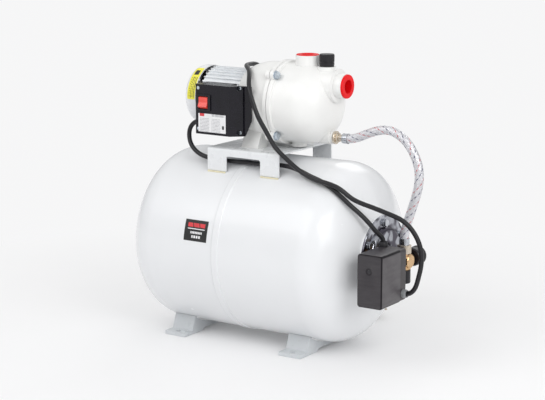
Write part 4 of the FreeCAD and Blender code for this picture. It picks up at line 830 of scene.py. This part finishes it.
for i, (x_from, x_to) in enumerate(PLATFORM_WELDS):
    for k in (-1, 1):
        y = k * PLATFORM_WELD_Y
        z = TANK_AXIS_Z + math.sqrt(TANK_RADIUS ** 2 - y * y) + 0.9
        bead(f"platform_weld_{i}_{k + 1}",
             [(x_from + (x_to - x_from) * t / 6, y, z) for t in range(7)],
             radius=1.7, material="bead_warm")
for i, foot_x in enumerate((-FOOT_X, FOOT_X)):
    for k in (-1, 1):
        for side in (-1, 1):
            reach = TANK_RADIUS + 0.6
            angles = [math.radians(8 + 19 * t / 11) * k for t in range(12)]
            bead(f"foot_weld_{i}_{k + 1}_{side + 1}",
                 [(foot_x + side * FOOT_WELD_OFFSET, reach * math.sin(angle),
                   TANK_AXIS_Z - reach * math.cos(angle)) for angle in angles],
                 radius=1.4, material="bead")
add_seam_weld()

# ------------------------------------- painted shade: dark crosses for the shaded cross recesses of two terminal box screws
CROSS_X, CROSS_Y = -1, -88.25
CROSS_HALF_LENGTH, CROSS_HALF_WIDTH = 2.3, 0.42
for screw_z in (426, 514):
    for angle in (0.6, 0.6 + math.pi / 2):
        cosine, sine = math.cos(angle), math.sin(angle)
        corners = []
        for end, side in ((-1, -1), (1, -1), (1, 1), (-1, 1)):
            length, width = end * CROSS_HALF_LENGTH, side * CROSS_HALF_WIDTH
            corners.append(((CROSS_X + cosine * length - sine * width) * MM, CROSS_Y * MM,
                            (screw_z + sine * length + cosine * width) * MM))
        add_piece(f"screw_cross_shade_{screw_z}_{int(angle * 10)}", corners, [(0, 1, 2, 3)],
                  "ink_black", smooth=False)


# ----------------------------------------------------------------------- stage
def add_floor():
    """Pale floor that fades into an even glow away from the set."""
    tree, bsdf = principled("floor")
    tone = remap(tree, noise(tree, coords(tree), scale=3), span=(0.3, 0.7))
    set_inputs(tree, bsdf, {
        "Base Color": mix(tree, tone, (0.90, 0.90, 0.905), (0.915, 0.915, 0.92)),
        "Roughness": 0.7, "Specular IOR Level": 0.2})
    distance = node(tree, "VectorMath", {
        0: node(tree, "NewGeometry").outputs["Position"], 1: (0.05, 0, 0)},
        operation="DISTANCE").outputs["Value"]
    glow = node(tree, "Emission", {0: (0.925, 0.925, 0.93)})
    fade = remap(tree, distance, span=(0.42, 1.10), to=(0.10, 1.0))
    blend = node(tree, "MixShader", {0: fade, 1: bsdf.outputs[0], 2: glow.outputs[0]})
    set_inputs(tree, find_node(tree, "OUTPUT_MATERIAL"), {0: blend.outputs[0]})
    half, z = 9, -0.0002
    corners = [(-half, -half, z), (half, -half, z), (half, half, z), (-half, half, z)]
    link_mesh("floor", corners, [(0, 1, 2, 3)], ["floor"])


def add_world():
    """Light that brightens upwards; the camera sees an even pale backdrop."""
    world = bpy.data.worlds.new("studio")
    scene.world = world
    world.use_nodes = True
    tree = world.node_tree
    tree.nodes.clear()
    output = node(tree, "OutputWorld")
    direction = node(tree, "SeparateXYZ", {0: node(tree, "TexCoord").outputs["Generated"]})
    height = remap(tree, direction.outputs[2], span=(0.02, 0.42))
    sky = mix(tree, height, (0.50, 0.51, 0.53), (1, 1, 1))
    lighting = node(tree, "Background", {"Color": sky, "Strength": 0.74})
    backdrop = node(tree, "Background", {"Color": (0.945, 0.945, 0.95), "Strength": 1.0})
    seen = node(tree, "LightPath").outputs["Is Camera Ray"]
    blend = node(tree, "MixShader", {0: seen, 1: lighting.outputs[0], 2: backdrop.outputs[0]})
    set_inputs(tree, output, {0: blend.outputs[0]})


def area(name, at, toward, size, power):
    light = bpy.data.lights.new(name, "AREA")
    light.shape = "RECTANGLE"
    light.size, light.size_y = size
    light.energy = power
    lamp = bpy.data.objects.new(name, light)
    lamp.location = at
    aim = Vector(toward) - Vector(at)
    lamp.rotation_euler = aim.to_track_quat("-Z", "Y").to_euler()
    scene.collection.objects.link(lamp)


def add_camera():
    camera = bpy.data.cameras.new("camera")
    camera.sensor_width = 36.0
    camera.lens = 110.14
    camera.clip_start = 0.05
    holder = bpy.data.objects.new("camera", camera)
    holder.location = (1.84253, -2.74953, 0.94604)
    tilt_down, turn = 11.43, 33.58
    holder.rotation_euler = (math.radians(90 - tilt_down), 0.0, math.radians(turn))
    scene.collection.objects.link(holder)
    scene.camera = holder


add_floor()
add_world()
area("key", at=(-0.7, -2.4, 2.5), toward=(0.05, 0, 0.3), size=(3.0, 2.0), power=30)
area("fill", at=(2.8, -1.0, 1.5), toward=(0.1, 0, 0.3), size=(1.8, 1.8), power=26)
for light_name, place in (("window_a", (2.05, -1.75, 1.9)), ("window_b", (2.30, -1.35, 1.9))):
    area(light_name, at=place, toward=(0.1, -0.1, 0.25), size=(0.20, 0.5), power=3.4)
area("back", at=(-0.5, 2.6, 2.2), toward=(0, 0, 0.3), size=(2.0, 1.2), power=12)
add_camera()
scene.view_settings.view_transform = "Standard"
scene.view_settings.look = "None"
